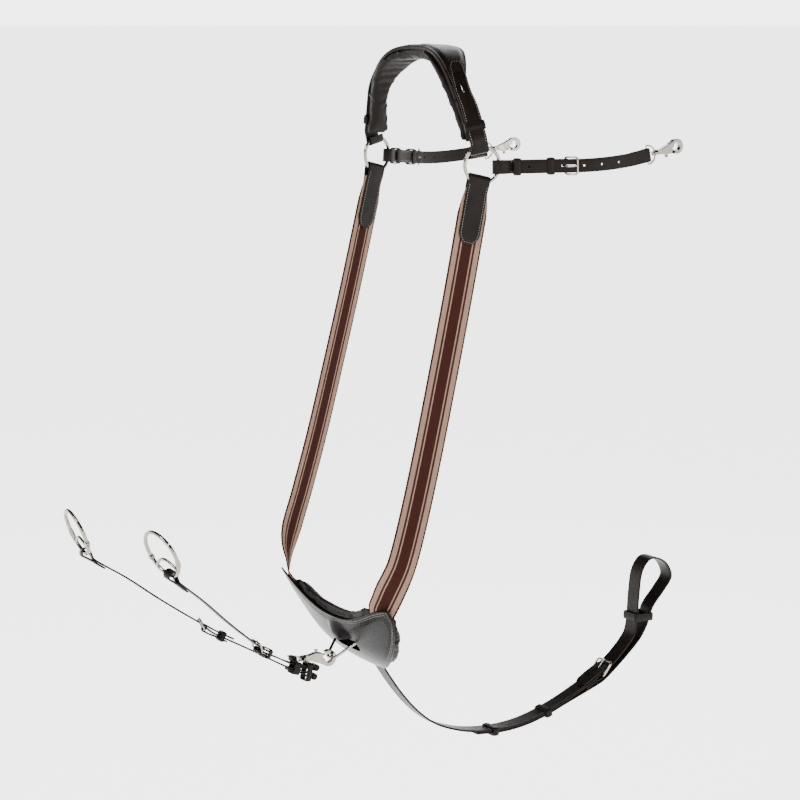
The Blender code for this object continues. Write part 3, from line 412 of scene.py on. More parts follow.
def across_of(direction):
    """Width direction of a fork or girth strap: sideways, square to the strap."""
    ahead = Vector(direction).normalized()
    sideways = Vector((1, 0, 0))
    return (sideways - ahead * ahead.x).normalized()


def acrosses_of(points):
    return [across_of(stride(points, i)) for i in range(len(points))]


def rein_frame(label):
    """Frame of a rein ring: x sideways and y up in its plane, z forwards."""
    centre, facing = REIN_RING[label]
    facing = Vector(facing).normalized()
    up = Vector((0, 0, 1))
    up = (up - facing * up.dot(facing)).normalized()
    return axes(Vector(centre) * MM, facing.cross(up) * -1, up)


def girth_route():
    """Middle line of the girth strap, from inside the plate to the buckle's bar."""
    lift = LAYER_MIDDLE + LEATHER / 2 + GAP
    inside = [plate_point(0, b * MM, lift) for b in (118, 121, 124)]
    guide = inside[-1:] + [Vector((0, y, z)) * MM for y, z in GIRTH_LINE]
    return inside[:-1] + hermite_route(guide, 42)


# ---- camera, lights and floor
def into_scene(name, data):
    item = bpy.data.objects.new(name, data)
    bpy.context.scene.collection.objects.link(item)
    return item


def camera():
    """The photograph's view; returns its target, its right and the way back to the camera."""
    azimuth, elevation = radians(CAMERA_TURN), radians(CAMERA_RISE)
    target = Vector(CAMERA_TARGET)
    back = Vector((sin(azimuth) * cos(elevation), -cos(azimuth) * cos(elevation), sin(elevation)))
    right = Vector((cos(azimuth), sin(azimuth), 0.0))
    data = bpy.data.cameras.new("camera")
    data.lens = CAMERA_LENS
    data.sensor_width = 36.0
    item = into_scene("camera", data)
    turn = Matrix((right, back.cross(right), back)).transposed().to_4x4()
    item.matrix_world = Matrix.Translation(target + back * CAMERA_DISTANCE) @ turn
    bpy.context.scene.camera = item
    return target, right, back


def soft_light(name, place, target, size, power):
    data = bpy.data.lights.new(name, "AREA")
    data.shape = "RECTANGLE"
    data.size, data.size_y = size
    data.energy = power
    item = into_scene(name, data)
    item.location = place
    item.rotation_euler = (Vector(target) - Vector(place)).to_track_quat("-Z", "Y").to_euler()


def studio(target, right, back):
    """A pale floor that glows, pale light from below and a dark ceiling, and three soft lamps."""
    world = bpy.data.worlds.new("studio")
    bpy.context.scene.world = world
    world.use_nodes = True
    tree = world.node_tree
    shade = tree.nodes["Background"]
    where, split, ramp = (tree.nodes.new("ShaderNode" + kind)
                          for kind in ("TexCoord", "SeparateXYZ", "ValToRGB"))
    tree.links.new(where.outputs["Generated"], split.inputs[0])
    tree.links.new(split.outputs["Z"], ramp.inputs[0])
    tree.links.new(ramp.outputs["Color"], shade.inputs["Color"])
    for stop, (height, colour) in zip(ramp.color_ramp.elements, SKY):
        stop.position, stop.color = height, colour
    shade.inputs["Strength"].default_value = WORLD_LIGHT
    for name, behind, side, rise, size, power in LAMPS:
        place = target + back * behind + right * side + Vector((0, 0, rise))
        soft_light(name, place, target, size, power)
    body = bmesh.new()
    bmesh.ops.create_circle(body, cap_ends=True, segments=64, radius=120.0)
    floor = mesh_object("floor", body)
    floor.location = (0, 0, CAD_BOX[0][2] - FLOOR_DROP)
    pale = bpy.data.materials.new("pale_floor")
    pale.use_nodes = True
    for socket, value in (("Base Color", (0.97, 0.97, 0.97, 1)), ("Roughness", 1.0),
                          ("Specular IOR Level", 0.0), ("Emission Color", (1, 1, 1, 1)),
                          ("Emission Strength", FLOOR_GLOW)):
        pale.node_tree.nodes["Principled BSDF"].inputs[socket].default_value = value
    floor.data.materials.append(pale)


# ---- materials
class Nodes:
    """Small helper that adds shader nodes and wires them."""

    def __init__(self, name):
        self.skin = bpy.data.materials.new(name)
        self.skin.use_nodes = True
        self.tree = self.skin.node_tree

    def wire(self, node, sockets):
        """Set sockets to numbers, or link them to the outputs of other nodes."""
        for key, value in sockets.items():
            if isinstance(value, bpy.types.NodeSocket):
                self.tree.links.new(value, node.inputs[key])
            else:
                node.inputs[key].default_value = value

    def add(self, kind, sockets=None, **values):
        node = self.tree.nodes.new("ShaderNode" + kind)
        for key, value in values.items():
            setattr(node, key, value)
        self.wire(node, sockets or {})
        return node.outputs

    def maths(self, how, a, b=0.0):
        return self.add("Math", {0: a, 1: b}, operation=how)[0]

    def place(self):
        return self.add("TexCoord")["Object"]

    def noise(self, vector, scale, detail=4.0, rough=0.55):
        sockets = {"Vector": vector, "Scale": scale, "Detail": detail, "Roughness": rough}
        return self.add("TexNoise", sockets)["Fac"]

    def ramp(self, value, *stops):
        fac = self.add("ValToRGB", {0: value})
        elements = self.tree.nodes[-1].color_ramp.elements
        while len(elements) < len(stops):
            elements.new(0.5)
        for element, (position, colour) in zip(elements, stops):
            element.position = position
            element.color = (*colour, 1.0)
        return fac["Color"]

    def bump(self, height, strength, distance, **normal):
        sockets = {"Strength": strength, "Distance": distance, "Height": height, **normal}
        return self.add("Bump", sockets)["Normal"]

    def finish(self, colour, **sockets):
        self.wire(self.tree.nodes["Principled BSDF"], {"Base Color": colour, **sockets})
        return self.skin


def leather(name, dark, light, rough, index, grain=1500.0, depth=1.0):
    """Bridle leather: fine cells, soft mottling and a waxed surface."""
    make = Nodes(name)
    place = make.place()
    mottle = make.noise(place, 55.0, 5.0, 0.6)
    pores = make.add("TexVoronoi", {"Vector": place, "Scale": grain}, feature="DISTANCE_TO_EDGE")["Distance"]
    creases = make.noise(place, grain * 0.35, 6.0, 0.65)
    height = make.maths("ADD", make.maths("MULTIPLY", make.maths("MINIMUM", pores, 0.25), 1.6), creases)
    wide = make.bump(make.noise(place, 90.0, 3.0), 0.25 * depth, 0.0012)
    patch = make.noise(place, 240.0, 3.0)
    return make.finish(make.ramp(mottle, (0.30, dark), (0.72, light)),
                       Normal=make.bump(height, 0.42 * depth, 0.00022, Normal=wide),
                       Roughness=make.maths("ADD", make.maths("MULTIPLY", patch, 0.16), rough - 0.08),
                       IOR=index)


def thread_material():
    make = Nodes("thread")
    fibre = make.noise(make.place(), 2600.0, 3.0)
    return make.finish(make.ramp(fibre, (0.3, (0.10, 0.09, 0.08)), (0.7, (0.19, 0.17, 0.15))),
                       Normal=make.bump(fibre, 0.6, 0.00015), Roughness=0.7)


def metal(name, colour, rough):
    """Polished nickel with faint casting waves and hairline scratches."""
    make = Nodes(name)
    place = make.place()
    tone = make.noise(place, 160.0, 3.0)
    stretched = make.add("Mapping", {"Vector": place, "Scale": (1.0, 6.0, 1.0)})["Vector"]
    hair = make.noise(stretched, 900.0, 4.0, 0.7)
    waves = make.bump(make.noise(place, 130.0, 2.0), 0.30, 0.0012)
    return make.finish(make.ramp(tone, (0.3, tuple(c * 0.90 for c in colour)), (0.7, colour)),
                       Roughness=make.maths("ADD", make.maths("MULTIPLY", hair, 0.14), rough - 0.05),
                       Normal=make.bump(hair, 0.05, 0.0001, Normal=waves), Metallic=1.0)


# stripes of the webbing: shares of its half width where brown and tan meet, from its middle out
STRIPE_EDGES = (0.345, 0.43, 0.565, 0.885)
STRIPE_BLUR = 0.006
BROWN, TAN = (0.034, 0.0110, 0.0082), (0.26, 0.168, 0.125)
RIB_PITCH, WARP_PITCH = 0.0011, 0.0009


def webbing(width):
    """Elastic webbing: woven stripes by distance across, ribs along, painted shade in the ribs' hollows; the
    UV map is in metres.
    """
    make = Nodes("striped_webbing")
    split = make.add("SeparateXYZ", {0: make.add("UVMap", uv_map="metres")["UV"]})
    along, across = split["X"], split["Y"]
    weave = make.noise(make.place(), 900.0, 3.0)
    jitter = make.maths("MULTIPLY", make.maths("SUBTRACT", weave, 0.5), 0.03)
    share = make.maths("ADD", make.maths("DIVIDE", make.maths("ABSOLUTE", across), width / 2), jitter)
    stops = [(0.0, BROWN)]
    for k, position in enumerate(STRIPE_EDGES):
        inside, outside = (BROWN, TAN) if k % 2 == 0 else (TAN, BROWN)
        stops += [(position - STRIPE_BLUR, inside), (position + STRIPE_BLUR, outside)]
    ribs = make.maths("SINE", make.maths("MULTIPLY", along, 2 * pi / RIB_PITCH))
    warp = make.maths("SINE", make.maths("MULTIPLY", across, 2 * pi / WARP_PITCH))
    cloth = make.maths("MULTIPLY", make.maths("ADD", ribs, 1.0), make.maths("ADD", warp, 1.4))
    relief = make.maths("ADD", make.maths("MULTIPLY", cloth, 0.12), make.maths("MULTIPLY", weave, 0.5))
    # painted shade: the stripes are darkened where the ribs' bump sinks, with a random fibre tone mixed in
    shade = make.ramp(relief, (0.15, (0.62, 0.58, 0.56)), (0.7, (1.0, 1.0, 1.0)))
    stripes_with_shade_and_tone = make.add("Mix", data_type="RGBA", blend_type="MULTIPLY")
    make.wire(make.tree.nodes[-1], {"Factor": 0.6, "A": make.ramp(share, *stops), "B": shade})
    return make.finish(stripes_with_shade_and_tone["Result"], Normal=make.bump(cloth, 0.75, 0.00022), Roughness=0.9, IOR=1.12)


# deep and raised colour, roughness, refraction, grain per metre and depth of relief
LEATHERS = {
    "dark": ((0.0034, 0.0022, 0.0017), (0.0080, 0.0052, 0.0039), 0.34, 1.16),
    "gloss": ((0.0030, 0.0027, 0.0026), (0.0056, 0.0048, 0.0045), 0.28, 1.13, 2200.0, 0.3),
    "soft": ((0.0030, 0.0020, 0.0015), (0.0068, 0.0046, 0.0035), 0.42, 1.15, 1100.0, 1.3)}
DARK, GLOSS, SOFT = (leather(kind + "_leather_look", *look) for kind, look in LEATHERS.items())
THREAD = thread_material()
NICKEL = metal("nickel_look", (0.23, 0.213, 0.185), 0.12)
SKINS = {"dark_leather": DARK, "gloss_leather": GLOSS, "soft_leather": SOFT, "nickel": NICKEL}


# ---- pieces
def mesh_object(name, body):
    mesh = bpy.data.meshes.new(name)
    body.to_mesh(mesh)
    body.free()
    return into_scene(name, mesh)


def smooth_shade(mesh, angle):
    mesh.shade_smooth()
    mesh.set_sharp_from_angle(angle=radians(angle))


def new_piece(name, body, skin, angle=40.0):
    item = mesh_object(name, body)
    item.data.materials.append(skin)
    smooth_shade(item.data, angle)
    return item


def loft(rows, closed=False, label="near"):
    """Mesh over rings of places, capped at both ends or closed from the last ring to the first."""
    body = bmesh.new()
    rings = [[body.verts.new(place) for place in mirrored(label, row)] for row in rows]
    for a, b in zip(rings, rings[1:] + rings[:closed]):
        for k in range(len(a)):
            n = (k + 1) % len(a)
            body.faces.new((a[k], a[n], b[n], b[k]))
    for ring in () if closed else (rings[0], rings[-1]):
        body.faces.new(ring)
    bmesh.ops.recalc_face_normals(body, faces=body.faces)
    return body


def modify(item, kind, **values):
    """Give an object a modifier with the settings named."""
    step = item.modifiers.new(kind.lower(), kind)
    for key, value in values.items():
        setattr(step, key, value)
    return step


def settle(item, angle=180.0):
    """Apply an object's modifiers for good and shade it smooth up to an angle."""
    graph = bpy.context.evaluated_depsgraph_get()
    mesh = bpy.data.meshes.new_from_object(item.evaluated_get(graph))
    item.modifiers.clear()
    old, item.data = item.data, mesh
    bpy.data.meshes.remove(old)
    smooth_shade(mesh, angle)


def cad_copy(node):
    """Mesh of a CAD node, to work on."""
    body = bmesh.new()
    body.from_mesh(NODES[node].data)
    return body


def belongs(item, node):
    """The piece stands for a CAD node and moves with its body."""
    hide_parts(node)
    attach(item, BODY_OF[node])
    REPLACED.add(node)
    return item


def trim(item, node):
    """The piece is an extra on the body that a CAD node is on."""
    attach(item, BODY_OF[node])
    return item


def soft_copy(node, skin, bevel):
    """A rounder version of a CAD node: flat facets merged, edges softened."""
    body = cad_copy(node)
    bmesh.ops.remove_doubles(body, verts=body.verts, dist=0.00002)
    bmesh.ops.dissolve_limit(body, angle_limit=radians(1.0), verts=body.verts, edges=body.edges)
    item = new_piece(node + "_look", body, skin)
    modify(item, "BEVEL", width=bevel, segments=3, limit_method="ANGLE", angle_limit=radians(35),
           use_clamp_overlap=True)
    settle(item, 50.0)
    belongs(item, node)


def cast_copy(node, voxel):
    """A cast and tumbled metal part: the CAD node remeshed finely and its edges worn round."""
    item = new_piece(node + "_look", cad_copy(node), NICKEL)
    modify(item, "REMESH", mode="VOXEL", voxel_size=voxel)
    modify(item, "SMOOTH", factor=0.5, iterations=5)
    settle(item)
    belongs(item, node)


def hand(label):
    """Sign of a side's x."""
    return -1 if label == "off" else 1


def mirrored(label, points):
    """The places as given, or their mirror images on the off side."""
    return [Vector((p[0] * hand(label), p[1], p[2])) for p in points]


class Strap:
    """Fine stations along a strap: place, width direction, outward direction and width."""

    def __init__(self, label, centres, acrosses, width, thick, tips=(0.0, 0.0), step=1.5 * MM):
        points, sides = mirrored(label, centres), mirrored(label, acrosses)
        widths = width if isinstance(width, list) else [width] * len(points)
        last = len(points) - 1
        lengths = lengths_along(points)
        self.spots, self.sides, self.widths = [], [], []
        for i in range(last):
            count = max(1, round((lengths[i + 1] - lengths[i]) / step))
            for k in range(count + (i == last - 1)):
                t = k / count
                self.spots.append(hermite(points, lengths, i, t))
                self.sides.append(sides[i].lerp(sides[i + 1], t).normalized())
                self.widths.append(widths[i] * (1 - t) + widths[i + 1] * t)
        self.thick = thick
        self.along = lengths_along(self.spots)
        self.total = self.along[-1]
        self.ups = [stride(self.spots, i).normalized().cross(side).normalized() * hand(label)
                    for i, side in enumerate(self.sides)]
        self.full = max(widths)
        for i, distance in enumerate(self.along):
            for tip, past in ((tips[0], distance), (tips[1], self.total - distance)):
                if tip and past < tip:
                    self.widths[i] = self.full * max(0.22, sqrt(max(0.0, 1 - (1 - past / tip) ** 2)))

    def section(self, crown, crease):
        """Half outline of the strap's section, left to right over the outer face."""
        half, deep = self.full / 2, self.thick / 2
        turn = min(0.8 * MM, 0.38 * self.thick)
        top = []
        for angle in (180, 150, 120, 90):
            a = radians(angle)
            top.append((-half + turn + turn * cos(a), deep - turn + turn * sin(a)))
        if crease:
            top += [(-half + 1.7 * MM, deep), (-half + 2.0 * MM, deep - crease), (-half + 2.4 * MM, deep)]
        top += [(-half * 0.5, deep + crown * 0.75), (0.0, deep + crown)]
        return top + [(-x, y) for x, y in reversed(top[:-1])]

    def solid(self, name, skin, crown=0.05 * MM, crease=0.12 * MM):
        """The strap as a piece; its UV map is in metres, along and across."""
        top = self.section(crown, crease)
        flat = self.section(crown, 0.0)
        if crease:
            line = self.full / 2 - 2.0 * MM
            flat = [(x, min(y, self.thick / 2 + crown)) for x, y in top]
            flat = [(x, y + (crease if abs(abs(x) - line) < 1e-7 else 0)) for x, y in flat]
        outline = top + [(x, -y) for x, y in reversed(flat)]
        scales = [width / self.full for width in self.widths]
        body = loft([[spot + side * (u * scale) + up * v for u, v in outline]
                     for spot, side, up, scale in zip(self.spots, self.sides, self.ups, scales)])
        metres = body.loops.layers.uv.new("metres")
        body.verts.index_update()
        for loop in (loop for face in body.faces if len(face.verts) == 4 for loop in face.loops):
            row, lane = divmod(loop.vert.index, len(outline))
            loop[metres].uv = (self.along[row], outline[lane][0] * self.widths[row] / self.full)
        return new_piece(name, body, skin, 50.0)

    def stand_for(self, node, tools=(), **look):
        """The strap, with the cutters taken away, as the piece for a CAD node."""
        belongs(cut(self.solid(node + "_look", DARK, **look), tools), node)

    def at(self, distance):
        """Index of the station at a distance along the strap."""
        return min(range(len(self.along)), key=lambda i: abs(self.along[i] - distance))

    def edge_row(self, inset, start, end, face=1, round_tip=False):
        """Stitch line inside both edges; round_tip joins the two at the start of the strap."""
        halves = []
        for side in (-1, 1):
            line = []
            for i in range(self.at(start), self.at(end) + 1):
                reach = self.widths[i] / 2 - inset
                if reach >= 0.2 * MM:
                    lift = self.ups[i] * face * (self.thick / 2 + FACE_LIFT)
                    line.append((self.spots[i] + self.sides[i] * side * reach + lift, self.ups[i] * face))
            halves.append(line)
        return [halves[0][::-1] + halves[1]] if round_tip else halves

    def sew_faces(self, owner, inset, start, end, *size):
        """Stitch lines inside both edges of both faces."""
        for face in (1, -1):
            thread.sew(owner, self.edge_row(inset, start, end, face), *size)


class Thread:
    """Stitches, gathered by the body they move with."""

    def __init__(self):
        self.bodies = {}

    def sew(self, owner, lines, pitch=3.3 * MM, length=2.3 * MM, radius=0.34 * MM):
        body = self.bodies.setdefault(owner, bmesh.new())
        for line in lines:
            walked = 0.0
            due = pitch * 0.6
            for (a, up_a), (b, up_b) in zip(line, line[1:]):
                span = (b - a).length
                while span > 0 and walked + span >= due:
                    t = (due - walked) / span
                    self.bead(body, a.lerp(b, t), (b - a).normalized(), up_a.lerp(up_b, t).normalized(),
                              length, radius)
                    due += pitch
                walked += span

    @staticmethod
    def bead(body, centre, ahead, up, length, radius):
        """One stitch: a six-sided bead, lying flat and pulled in at both ends."""
        side = ahead.cross(up).normalized()
        rings = []
        for share, size, sink in ((-0.38, 0.75, -0.12), (0.0, 1.0, 0.0), (0.38, 0.75, -0.12)):
            ring = []
            for k in range(6):
                angle = pi * k / 3
                ring.append(body.verts.new(
                    centre + ahead * (share * length) + side * (radius * size * cos(angle))
                    + up * (radius * (0.7 * size * sin(angle) + sink))))
            rings.append(ring)
        tips = [body.verts.new(centre + ahead * (s * 0.5 * length) - up * radius * 0.5) for s in (-1, 1)]
        for k in range(6):
            n = (k + 1) % 6
            body.faces.new((tips[0], rings[0][n], rings[0][k]))
            for here, there in zip(rings, rings[1:]):
                body.faces.new((here[k], here[n], there[n], there[k]))
            body.faces.new((rings[2][k], rings[2][n], tips[1]))

    def finish(self):
        for owner, body in self.bodies.items():
            bmesh.ops.recalc_face_normals(body, faces=body.faces)
            item = new_piece(owner + "_stitching", body, THREAD, 180.0)
            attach(item, owner)


thread = Thread()


def cut(item, tools):
    """Take cutters away from a piece, with the exact solver."""
    for tool in tools:
        modify(item, "BOOLEAN", operation="DIFFERENCE", object=tool, solver="EXACT")
    settle(item, 50.0)
    for tool in tools:
        bpy.data.objects.remove(tool, do_unlink=True)
    return item


def tool_object(name, body, place):
    bmesh.ops.transform(body, matrix=place, verts=body.verts)
    bmesh.ops.recalc_face_normals(body, faces=body.faces)
    return mesh_object(name, body)


def punch(strap, distance, radius=1.5 * MM):
    """Cutter for one round hole through a strap."""
    i = strap.at(distance)
    body = bmesh.new()
    bmesh.ops.create_cone(body, cap_ends=True, segments=20, radius1=radius, radius2=radius, depth=8 * MM)
    turn = strap.ups[i].to_track_quat("Z", "Y").to_matrix().to_4x4()
    return tool_object("punch", body, Matrix.Translation(strap.spots[i]) @ turn)


def slot_tool(place, reach, tongue, label="near"):
    """Cutter that frees a tongue's path through the leather at a buckle."""
    back, front = -5 * MM, reach - 2.6 * MM
    body = bmesh.new()
    bmesh.ops.create_cube(body, size=2.0)
    bmesh.ops.scale(body, vec=Vector(((front - back) / 2, tongue + 0.4 * MM, 12 * MM)), verts=body.verts)
    bmesh.ops.translate(body, vec=Vector(((front + back) / 2, 0, 0)), verts=body.verts)
    return tool_object("slot", body, Matrix.Diagonal((hand(label), 1, 1, 1)) @ place)


def keeper(node, label, place, half_width, low, high, length):
    """A leather band round a strap: place has x along the strap, y across it, z outwards."""
    wall, crown, turn = 1.5 * MM, 0.35 * MM, 0.5 * MM
    middle = (low + high) / 2
    outline = rounded_box((high - low) / 2 + wall / 2, half_width + wall / 2, 1.9 * MM, 5, middle)
    dense = []
    for (z, y), (nz, ny) in zip(outline, outline[1:] + outline[:1]):
        parts = max(1, round(hypot(nz - z, ny - y) / (1.6 * MM)))
        dense += [(z + (nz - z) * k / parts, y + (ny - y) * k / parts) for k in range(parts)]
    span, deep = length / 2, wall / 2
    section = []
    for angle in (180, 135, 90):
        a = radians(angle)
        section.append((-span + turn + turn * cos(a), deep - turn + turn * sin(a)))
    section += [(-span + 1.3 * MM, deep), (-span + 1.6 * MM, deep - 0.14 * MM), (-span + 1.9 * MM, deep)]
    section += [(-span * 0.3, deep + crown * 0.9)]
    section += [(-x, y) for x, y in reversed(section)]
    section += [(span - 0.3 * MM, -deep), (-span + 0.3 * MM, -deep)]
    rows = []
    for i, (z, y) in enumerate(dense):
        before, after = dense[i - 1], dense[(i + 1) % len(dense)]
        tangent = Vector((after[0] - before[0], after[1] - before[1], 0)).normalized()
        out = Vector((tangent.y, -tangent.x, 0))
        if out.dot(Vector((z - middle, y, 0))) < 0:
            out = -out
        rows.append([place @ Vector((x, y + out.y * v, z + out.x * v)) for x, v in section])
    belongs(new_piece(node + "_look", loft(rows, True, label), DARK, 55.0), node)


def shell(name, rows_top, rows_low, skin):
    """Closed solid between two grids of places with the same counts."""
    body = bmesh.new()
    top = [[body.verts.new(p) for p in row] for row in rows_top]
    low = [[body.verts.new(p) for p in row] for row in rows_low]
    last_i, last_j = len(top) - 1, len(top[0]) - 1
    for i in range(last_i):
        for j in range(last_j):
            body.faces.new((top[i][j], top[i + 1][j], top[i + 1][j + 1], top[i][j + 1]))
            body.faces.new((low[i][j], low[i][j + 1], low[i + 1][j + 1], low[i + 1][j]))
    border = [(i, 0) for i in range(last_i)] + [(last_i, j) for j in range(last_j)]
    border += [(i, last_j) for i in range(last_i, 0, -1)] + [(0, j) for j in range(last_j, 0, -1)]
    for here, there in zip(border, border[1:] + border[:1]):
        body.faces.new((top[here[0]][here[1]], top[there[0]][there[1]],
                        low[there[0]][there[1]], low[here[0]][here[1]]))
    bmesh.ops.recalc_face_normals(body, faces=body.faces)
    return new_piece(name, body, skin, 50.0)


EDGE_STEPS = (0.0, 0.25, 0.6, 1.1, 1.8, 2.9, 3.3, 3.7, 4.3, 5.5, 7.0)


def dense_shares(length, inner):
    """Shares 0 to 1 of a length, close together near both ends."""
    scale = min(1.0, length / MM / 2 / (EDGE_STEPS[-1] + 0.6))
    ends = [e * MM * scale / length for e in EDGE_STEPS]
    low, high = ends[-1], 1 - ends[-1]
    middle = [low + (high - low) * k / inner for k in range(1, inner)]
    return ends + middle + [1 - e for e in reversed(ends)]


def edge_drop(distance, depth=0.35 * MM):
    """How far a sewn panel's face lies below its height near its edge, seam groove included."""
    turn, drop = 1.0 * MM, 0.0
    if distance < turn:
        drop = turn - sqrt(max(0.0, turn**2 - (turn - distance) ** 2))
    return drop + depth * exp(-(((distance - STITCH_INSET) / (0.55 * MM)) ** 2))


# ---- wither pad
def pad_face(s, across):
    """Height of the pad's cover over the pad's own underside, and the place's distance to an edge."""
    wide = pad_width(s)
    to_edge = min(across * wide, (1 - across) * wide, PAD_ARC * (1 - abs(s)))
    crown = 1.5 * MM * smooth(to_edge, 4.0 * MM, 10 * MM)
    return PAD_TOTAL + crown - edge_drop(to_edge), to_edge


def wither_cover():
    shares = dense_shares(2 * PAD_ARC, 130)
    top, low = [], []
    for share in shares:
        s = 2 * share - 1
        across = dense_shares(pad_width(s), 14)
        top.append([pad_point(s, a, pad_face(s, a)[0]) for a in across])
        low.append([pad_point(s, a, PADDING_THICK + GAP) for a in across])
    belongs(shell("wither_pad_cover_look", top, low, DARK), "wither_pad_cover")
    line = []
    for side in (0, 1):
        for k in range(161):
            s = (-0.978 + 1.956 * k / 160) * (1 if side == 0 else -1)
            a = abs(side - STITCH_INSET / pad_width(s))
            height = pad_face(s, a)[0]
            up = (pad_point(s, a, height + MM) - pad_point(s, a, height)).normalized()
            line.append((pad_point(s, a, height + STITCH_LIFT), up))
    thread.sew("harness", [line + line[:1]])


def metal_plate(name, node, place, half_x, half_y, power, inner, steps, profile):
    """A small bright plate: rings of a share of its size, at heights in mm above the leather."""
    rows = []
    for size, height in profile:
        row = []
        for k in range(steps):
            angle = 2 * pi * k / steps
            x, y = (copysign(abs(c) ** power, c) for c in (cos(angle), sin(angle)))
            x *= half_x * (1 - inner + inner * size)
            row.append(place @ Vector((x, half_y * y * size, height * MM)))
        rows.append(row)
    trim(new_piece(name, loft(rows), NICKEL, 40.0), node)


def badge():
    """Plain oval metal plate on the crown of the pad."""
    place = axes(pad_point(0.0, 0.42, PAD_TOTAL + 1.5 * MM), (1, 0, 0), (0, 1, 0))
    metal_plate("pad_badge", "wither_pad_cover", place, 11 * MM, 5.5 * MM, 1.0, 1.0, 48,
                ((1.0, -0.6), (1.0, 0.45), (0.93, 0.8), (0.84, 0.82), (0.80, 0.62), (0.4, 0.66)))


def swollen(node, voxel, clear_of):
    """A stuffed piece: the CAD solid, shrunk, remeshed and blown up as cloth, kept off its neighbours."""
    shrink, most = 1.2 * MM, 4.5 * MM
    item = new_piece(node + "_look", cad_copy(node), SOFT)
    modify(item, "REMESH", mode="VOXEL", voxel_size=voxel)
    settle(item)
    mesh = item.data
    normals = [v.normal.copy() for v in mesh.vertices]
    for vert, normal in zip(mesh.vertices, normals):
        vert.co -= normal * shrink
    rest = [v.co.copy() for v in mesh.vertices]
    step = modify(item, "CLOTH")
    step.settings.use_pressure = True
    step.settings.uniform_pressure_force = CLOTH_PRESSURE
    step.settings.effector_weights.gravity = 0.0
    for number in range(1, CLOTH_STEPS + 1):
        bpy.context.scene.frame_set(number)
    settle(item)
    bpy.context.scene.frame_set(1)
    mesh = item.data
    for vert, start, normal in zip(mesh.vertices, rest, normals):
        move = vert.co - start
        if move.length > most:
            move *= most / move.length
        vert.co = start + move
    stay_clear(mesh, clear_of, 0.35 * MM)
    modify(item, "SUBSURF", levels=1, render_levels=1)
    settle(item)
    stay_clear(item.data, clear_of, 0.30 * MM)
    belongs(item, node)


def stay_clear(mesh, nodes, room):
    """Push vertices out of and away from neighbouring CAD nodes."""
    for name in nodes:
        data = NODES[name].data
        tree = BVHTree.FromPolygons([v.co for v in data.vertices], [tuple(p.vertices) for p in data.polygons])
        for vert in mesh.vertices:
            found, normal = tree.find_nearest(vert.co, 12 * MM)[:2]
            if found is not None:
                away = vert.co - found
                if away.dot(normal) < 0 or away.length < room:
                    vert.co = found + normal * room


# ---- straps on the near and off sides
def billet(label):
    place = ring_frame(radians(12))
    high = fold_height(BILLET_WIDTH / 2)
    lift = PAD_TOTAL + GAP + LEATHER / 2 + 0.2 * MM
    guide = []
    for s, extra in ((0.42, 0.0), (0.54, 0.0), (0.66, 1.2), (0.78, 3.6)):
        guide.append(pad_point(s, 0.5, lift + (extra + 1.4) * MM))
    guide.append(place @ Vector((0, high + 12 * MM, FOLD + 1.0 * MM)))
    guide.append(place @ Vector((0, high + 5 * MM, FOLD)))
    centres = hermite_route(guide, 14)
    centres += along_route(place, fold_points(high, 1))
    centres.append(place @ Vector((0, high + 6 * MM, -FOLD)))
    ring_across = place.to_3x3() @ Vector((1, 0, 0))
    acrosses = []
    for index in range(len(centres)):
        share = smooth(index, 2, 13)
        acrosses.append((Vector((0, 1, 0)) * (1 - share) + ring_across * share).normalized())
    strap = Strap(label, centres, acrosses, BILLET_WIDTH, LEATHER, tips=(15 * MM, 0))
    face = outer_face(strap, 0.3, label)
    strap.stand_for(label + "_neck_billet", [punch(strap, d * MM) for d in BILLET_HOLES])
    thread.sew("harness", strap.edge_row(2.3 * MM, 2.2 * MM, strap.total - 26 * MM, face, round_tip=True))
    spot = 11
    place = axes(centres[spot], stride(centres, spot), acrosses[spot])
    reach = LEATHER / 2 + 2 * GAP
    keeper(label + "_neck_keeper", label, place, BILLET_WIDTH / 2 + GAP + 0.2 * MM, -reach, reach, 11 * MM)
    stud(label, strap, face)


def stud(label, strap, face):
    """Small bright hook stud through the billet, between its tip and the keeper."""
    i = strap.at(44 * MM)
    up = strap.ups[i] * face
    ahead = stride(strap.spots, i).normalized()
    place = axes(strap.spots[i] + up * (LEATHER / 2), ahead, up.cross(ahead))
    metal_plate(label + "_billet_stud", label + "_neck_billet", place, 5.5 * MM, 1.5 * MM, 0.6, 0.25, 24,
                ((1.0, -0.4), (1.0, 0.5), (0.8, 0.85), (0.4, 1.0)))


def outer_face(strap, share, label):
    """+1 or -1: the face of the strap that looks away from the horse's middle."""
    i = strap.at(strap.total * share)
    outward = Vector((hand(label), 0, 0.001))
    return 1 if strap.ups[i].dot(outward) > 0 else -1


def elastic(label):
    centres, acrosses = elastic_route()
    widths = [WEB_WIDTH] * len(centres)
    for index, share in ((0, 0.74), (1, 0.90)):
        widths[index] = WEB_WIDTH * share
    strap = Strap(label, centres, acrosses, widths, WEB_THICK, step=2.0 * MM)
    item = strap.solid(label + "_elastic_look", WEBBING_SKIN, crown=0.0, crease=0.0)
    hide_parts(label + "_elastic")
    REPLACED.add(label + "_elastic")
    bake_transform(item)


